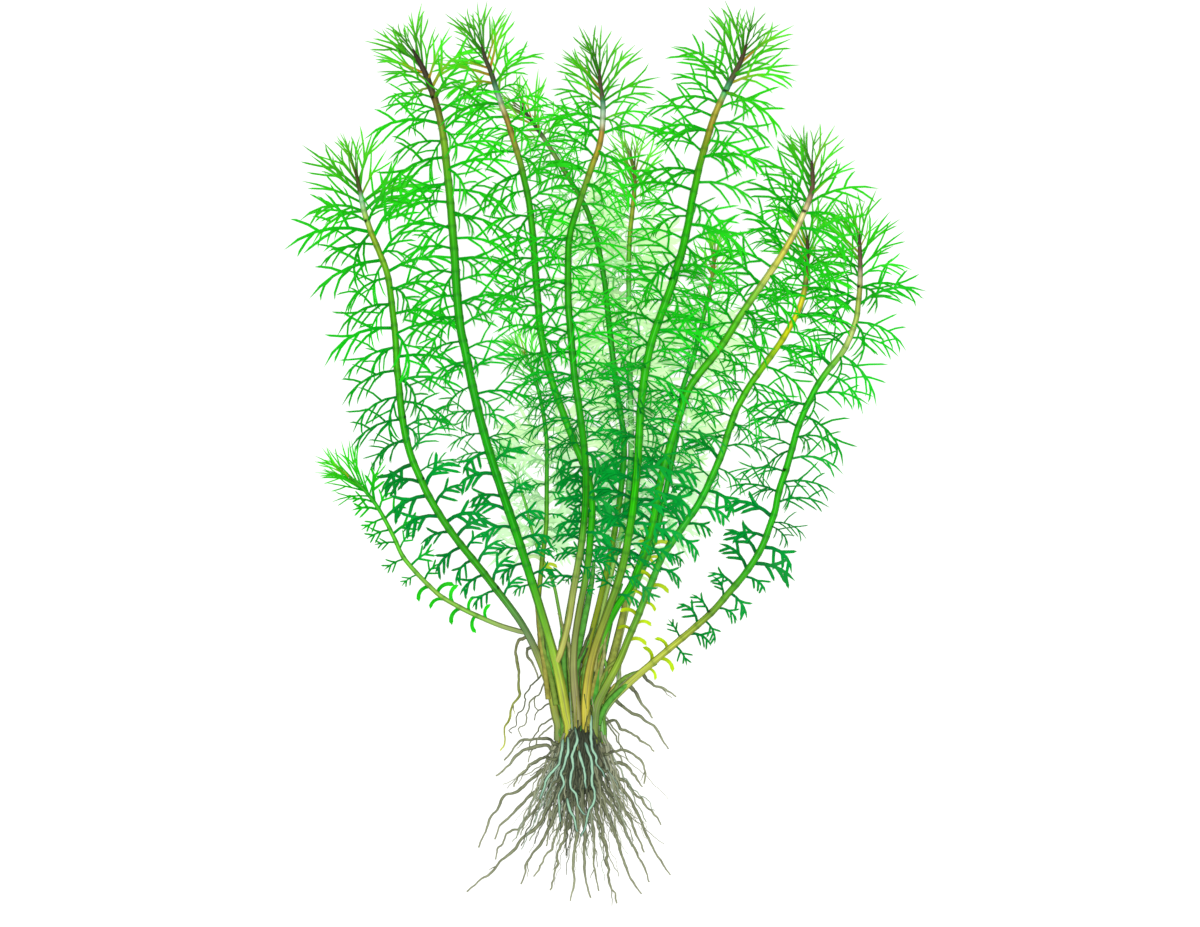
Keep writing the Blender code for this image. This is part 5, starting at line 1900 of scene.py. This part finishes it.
@dataclass
class RootMass:
    """The fan of roots that hangs from the crown."""

    garden: Garden
    shoots: dict[str, Shoot]
    foot_radius: float = 0.00060
    tip_radius: float = 0.00032
    lead_out: float = 0.0016
    drop: float = 1.25
    main_sides: int = 8
    rootlet_lengths: Span = (0.003, 0.008)
    rootlet_radii: Span = (0.00026, 0.00012)
    mint_radii: Span = (0.00082, 0.00048)
    mint_sides: int = 10
    mint_lift: float = 0.0021
    hairs: int = 110
    hair_lengths: Span = (0.022, 0.052)
    hair_radii: tuple[float, ...] = (0.00018, 0.00024, 0.00032, 0.00046)
    hair_sides: int = 5
    thin_heights: Span = (0.0090, 0.0006)
    thin_radii: Span = (0.00042, 0.00024)
    mat: int = 140
    mat_lengths: Span = (0.018, 0.046)
    mat_radii: Span = (0.00030, 0.00072)
    mat_sides: int = 6
    front: int = 56
    front_lengths: Span = (0.018, 0.036)
    front_angles: Span = (0.95, 2.15)
    lowest: float = 0.0003
    seed: int = 71
    skin: BVHTree = field(init=False)

    def __post_init__(self) -> None:
        """Read the crown's packed surface."""
        packed = bpy.data.objects[CROWN].data
        corners = [corner.co for corner in packed.vertices]
        self.skin = BVHTree.FromPolygons(corners, [tuple(face.vertices) for face in packed.polygons])

    def start_line(self, plan: RootPlan) -> Rows:
        """Draw a traced root's centre line, from inside its carrier to its tip on the floor.

        Args:
            plan: The traced root.

        Returns:
            Rows of x, y and z.
        """
        flat = on_grid(plan.route)
        rise = np.array([0.0, 0.0, math.tan(radians(plan.lift))])
        if plan.carrier == CROWN:
            heart = np.array([CROWN_MIDDLE.x, CROWN_TOP - CROWN_HEART, CROWN_MIDDLE.z])
            aim = unit((flat[0] - heart) * FLAT) + rise
            place, normal, _, _ = self.skin.ray_cast(Vector(heart), Vector(aim).normalized())
            place, normal = np.array(place), np.array(normal)
            inside = place - normal * 0.0030
        else:
            spine = self.shoots[plan.carrier].line.points
            inside = spine[np.argmin(np.linalg.norm(spine[:, :2] - flat[0, :2], axis=1))]
            normal = unit(flat[0] * FLAT - inside * FLAT) + rise
            place = inside + normal * 0.0014
        lead = place + normal * self.lead_out
        line = np.vstack([inside[None], place[None], curve_through(np.vstack([lead, flat]))])
        reach = reach_along(line)
        shares = np.clip((reach - reach[2]) / (reach[-1] - reach[2]), 0.0, 1.0)
        radius = self.foot_radius * (1 - shares) + 0.0003
        for i in range(2, len(line)):
            line[i, 2] = lead[2] + (radius[i] - lead[2]) * smooth(shares[i] * self.drop)
        return line

    def build_main(self) -> None:
        """Build each traced root as a piece of its own, with a few rootlets."""
        olive, tipped = OLIVE_ROOT.material(), YELLOW_TIPPED_ROOT.material()
        for number, plan in enumerate(MAIN_ROOTS, start=1):
            rng = Dice(self.seed * 100 + number)
            swing = rng.choice((0.0002, 0.0003, 0.0007))
            line = wiggled(self.start_line(plan), swing, 0.0105, rng)
            foot = self.foot_radius * rng.uniform(1.05, 1.50)
            radii = foot + (self.tip_radius - foot) * np.linspace(0.0, 1.0, len(line)) ** 2.2
            radii *= 1.0 + 0.12 * np.sin(np.arange(len(line)) * rng.uniform(0.5, 0.9))
            line[:, 2] = np.maximum(line[:, 2], radii * 0.95)
            strands = [Strand(line, radii, rng.uniform(0.3, 0.8))]
            strands += [self.rootlet(line, rng) for _ in range(rng.randrange(0, 2))]
            finish = tipped if number == 1 else olive
            piece = self.garden.skin(f"root_{number:02d}_strand", strands, self.main_sides, finish)
            settle(piece, "root_olive", f"root_{number:02d}")

    def rootlet(self, line: Rows, rng: Dice) -> Strand:
        """Grow a short side root.

        Args:
            line: The root that it leaves.
            rng: The source of chance.

        Returns:
            The side root.
        """
        at = int(len(line) * rng.uniform(0.45, 0.9))
        start = line[at]
        ahead = line[min(at + 2, len(line) - 1)] - line[at - 1]
        angle = math.atan2(ahead[1], ahead[0]) + rng.choice((-1, 1)) * radians(rng.uniform(22, 48))
        tip = start + np.array([cos(angle), sin(angle), 0.0]) * rng.uniform(*self.rootlet_lengths)
        tip[2] = self.lowest
        made = wiggled(curve_through(np.vstack([start, (start + tip) / 2, tip])), 0.0004, 0.005, rng)
        made[:, 2] = np.maximum(made[:, 2], 0.0002)
        return Strand(made, np.linspace(*self.rootlet_radii, len(made)), rng.uniform(0.2, 0.6))

    def build_mint(self) -> None:
        """Build the pale roots on the crown's front."""
        finish = MINT_ROOT.material()
        for number, (nodes, route) in enumerate(MINT_ROOTS, start=1):
            flat = on_grid(route)
            for i, (x, y, _) in enumerate(flat):
                flat[i, 2] = front_height(x, y) + self.mint_lift + 16.0 * (x - CROWN_MIDDLE.x) ** 2
            line = wiggled(curve_through(flat), 0.00022, 0.0070, Dice(self.seed * 10 + number))
            foot, tip = self.mint_radii
            radii = foot - (foot - tip) * np.linspace(0.0, 1.0, len(line)) ** 2
            radii *= 1.0 + 0.10 * np.sin(np.arange(len(line)) * 0.8 + number)
            radii[0] *= 0.6
            strand = Strand(line, radii)
            piece = self.garden.skin(f"front_root_{number}", [strand], self.mint_sides, finish)
            settle(piece, "root_pale", *nodes)

    def build_mat(self) -> None:
        """Build the dense dark roots round the crown and the hair roots that fan out of them."""
        rng = Dice(self.seed)
        dense = [self.mat_strand(rng, i < self.front) for i in range(self.mat)]
        settle(self.garden.skin("root_mat", dense, self.mat_sides, HAIR_ROOT.material()), "root_olive")
        hairs = [self.hair(rng) for _ in range(self.hairs)]
        for route in THIN_ROOTS:
            line = wiggled(curve_through(on_grid(route)), 0.0005, 0.008, rng)
            line[:, 2] = np.linspace(*self.thin_heights, len(line))
            hairs.append(Strand(line, np.linspace(*self.thin_radii, len(line)), rng.uniform(0.25, 0.7)))
        settle(self.garden.skin("hair_roots", hairs, self.hair_sides, HAIR_ROOT.material()), "root_olive")

    def mat_strand(self, rng: Dice, is_front: bool) -> Strand:
        """Grow one root of the dark heart, which clothes the crown and reaches past its end.

        Args:
            rng: The source of chance.
            is_front: Whether it runs over the crown's upper side.

        Returns:
            The root.
        """
        angle = rng.uniform(*(self.front_angles if is_front else (0.0, math.tau)))
        down = rng.uniform(-0.008, 0.005) if is_front else rng.uniform(-0.004, 0.014)
        half = crown_radius(max(down, 0.0)) * rng.uniform(0.84, 1.02)
        z = CROWN_MIDDLE.z + half * sin(angle) * CROWN_FLATNESS
        start = np.array([CROWN_MIDDLE.x + half * cos(angle), CROWN_TOP - down, z])
        length = rng.uniform(*(self.front_lengths if is_front else self.mat_lengths))
        fan = radians(rng.gauss(0.0, 8.0) + 17.0 * cos(angle))
        end = start + np.array([sin(fan) * length, -cos(fan) * length, 0.0])
        end[2] = max(0.0006, start[2] * rng.uniform(0.10, 0.55))
        middle = start * 0.5 + end * 0.5
        middle[2] = start[2] * 0.62 + end[2] * 0.38
        line = wiggled(curve_through(np.vstack([start, middle, end])), 0.0005, 0.011, rng)
        if is_front:
            lifts = np.linspace(rng.uniform(0.0006, 0.0016), -0.0020, len(line))
            line[:, 2] = [front_height(x, y) + lift for (x, y, _), lift in zip(line, lifts)]
        line[:, 2] = np.maximum(line[:, 2], 0.0004)
        width = rng.uniform(*self.mat_radii)
        is_core = is_front or abs(cos(angle)) < 0.46
        is_dark = is_core or rng.random() < 0.18
        deepest = 0.24 if is_front and rng.random() < 0.8 else 0.42
        tint = rng.uniform(0.04, deepest) if is_dark else rng.uniform(0.5, 1.0)
        if is_core:
            line = line[: max(6, int(len(line) * 0.72))]
        return Strand(line, np.linspace(width, width * 0.45, len(line)), tint)

    def hair(self, rng: Dice) -> Strand:
        """Grow one thin root that fans out over the floor.

        Args:
            rng: The source of chance.

        Returns:
            The root.
        """
        fan = rng.choice((-1, 1)) * abs(rng.gauss(0.0, 1.0)) * 22.0
        fan = radians(min(max(fan, -62.0), 56.0))
        down = rng.uniform(0.002, 0.022)
        half = crown_radius(down) * 0.8
        off = min(max(sin(fan) * 1.5 + rng.uniform(-0.3, 0.3), -0.95), 0.95)
        z = CROWN_MIDDLE.z + rng.uniform(-0.008, 0.008)
        start = np.array([CROWN_MIDDLE.x + half * off, CROWN_TOP - down, z])
        length = rng.uniform(*self.hair_lengths) * (1.0 - 0.25 * abs(sin(fan)))
        tip = start + np.array([sin(fan) * length, -cos(fan) * length, 0.0])
        tip[1:] = max(tip[1], CAD_BOX[0].y + 0.002), self.lowest
        middle = (start + tip) / 2 + np.array([rng.uniform(-0.003, 0.003), 0.0, 0.0])
        middle[2] = start[2] * rng.uniform(0.15, 0.5)
        swing = rng.uniform(0.0003, 0.0010)
        line = wiggled(curve_through(np.vstack([start, middle, tip])), swing, 0.0120, rng)
        line[:, 2] = np.maximum(line[:, 2], self.lowest)
        width = rng.choice(self.hair_radii) * rng.uniform(0.85, 1.15)
        return Strand(line, np.linspace(width, width * 0.4, len(line)), rng.uniform(0.3, 1.0))

    def build(self) -> None:
        """Build every root."""
        self.build_main()
        self.build_mint()
        self.build_mat()


@dataclass
class Studio:
    """Pale floor, soft light and the camera over the clump."""

    floor_size: float = 6.0
    lens: float = 300.0
    sensor: float = 36.0
    image_width: int = 1200
    image_middle: GridPoint = (600.0, 463.5)
    focus_height: float = 0.032
    sky: float = 0.25
    lamp_light: float = 3.3
    lamp_radius: float = 0.07
    lamp_over_camera: float = 0.2
    farthest: float = 40.0

    def build(self) -> None:
        """Build the floor, the lights and the camera."""
        mesh = bpy.data.meshes.new("floor")
        half = self.floor_size / 2
        corners = [(-half, -half, 0), (half, -half, 0), (half, half, 0), (-half, half, 0)]
        mesh.from_pydata(corners, [], [(0, 1, 2, 3)])
        mesh.materials.append(FloorFinish().material())
        stand("floor", mesh)
        world = bpy.data.worlds.new("studio")
        world.use_nodes = True
        background = world.node_tree.nodes["Background"].inputs
        background["Color"].default_value = (1.0, 1.0, 1.0, 1.0)
        background["Strength"].default_value = self.sky
        bpy.context.scene.world = world
        self.hang_lamp()
        bpy.context.scene.view_settings.view_transform = "Standard"
        self.aim_camera()

    def camera_place(self) -> Vector:
        """Work out where the camera hangs: straight over the clump, as high as the drawing grid asks.

        Returns:
            The camera's place.
        """
        away = GRID * self.image_width * self.lens / self.sensor
        middle = on_grid((self.image_middle,))[0]
        return Vector((middle[0], middle[1], self.focus_height + away))

    def hang_lamp(self) -> None:
        """Hang a round soft lamp just over the camera, so that shadows fall behind what casts them."""
        data = bpy.data.lights.new("overhead", "POINT")
        data.shadow_soft_size = self.lamp_radius
        lamp = stand("overhead", data)
        lamp.location = self.camera_place() + Vector((0.0, 0.0, self.lamp_over_camera))
        data.energy = self.lamp_light * 4.0 * math.pi * lamp.location.z**2

    def aim_camera(self) -> None:
        """Hang the camera, framed as the drawing grid is."""
        data = bpy.data.cameras.new("camera")
        data.lens = self.lens
        data.sensor_width = self.sensor
        data.clip_end = self.farthest
        camera = stand("camera", data)
        camera.location = self.camera_place()
        bpy.context.scene.camera = camera


def main() -> None:
    """Build the clump piece by piece, then the studio round it."""
    garden = Garden()
    shoots = {shoot.name: shoot for shoot in SHOOTS}
    for shoot in SHOOTS:
        settle(shoot.grow_stem(garden, shoots.get(shoot.forks_from)), "shoot_green", shoot.name)
    fresh, pale = LEAVES.material(), PALE_LEAVES.material()
    for shoot in SHOOTS:
        finish = pale if shoot.leaf is LeafForm.SPARSE else fresh
        settle(shoot.grow_leaves(garden, finish), "shoot_green", shoot.name)
    behind = [shoot for shoot in SHOOTS if shoot.leaf is LeafForm.SPARSE]
    far = [spot for shoot in behind for spot in shoot.far_leaves(garden)]
    settle(garden.leaves("far_leaves", far, FAR_LEAVES.material()), "shoot_green")
    Crown(garden, shoots).build()
    RootMass(garden, shoots).build()
    garden.clear()
    Studio().build()


if __name__ == "__main__":
    logging.basicConfig(level=logging.INFO, format="%(name)s %(message)s")
    main()
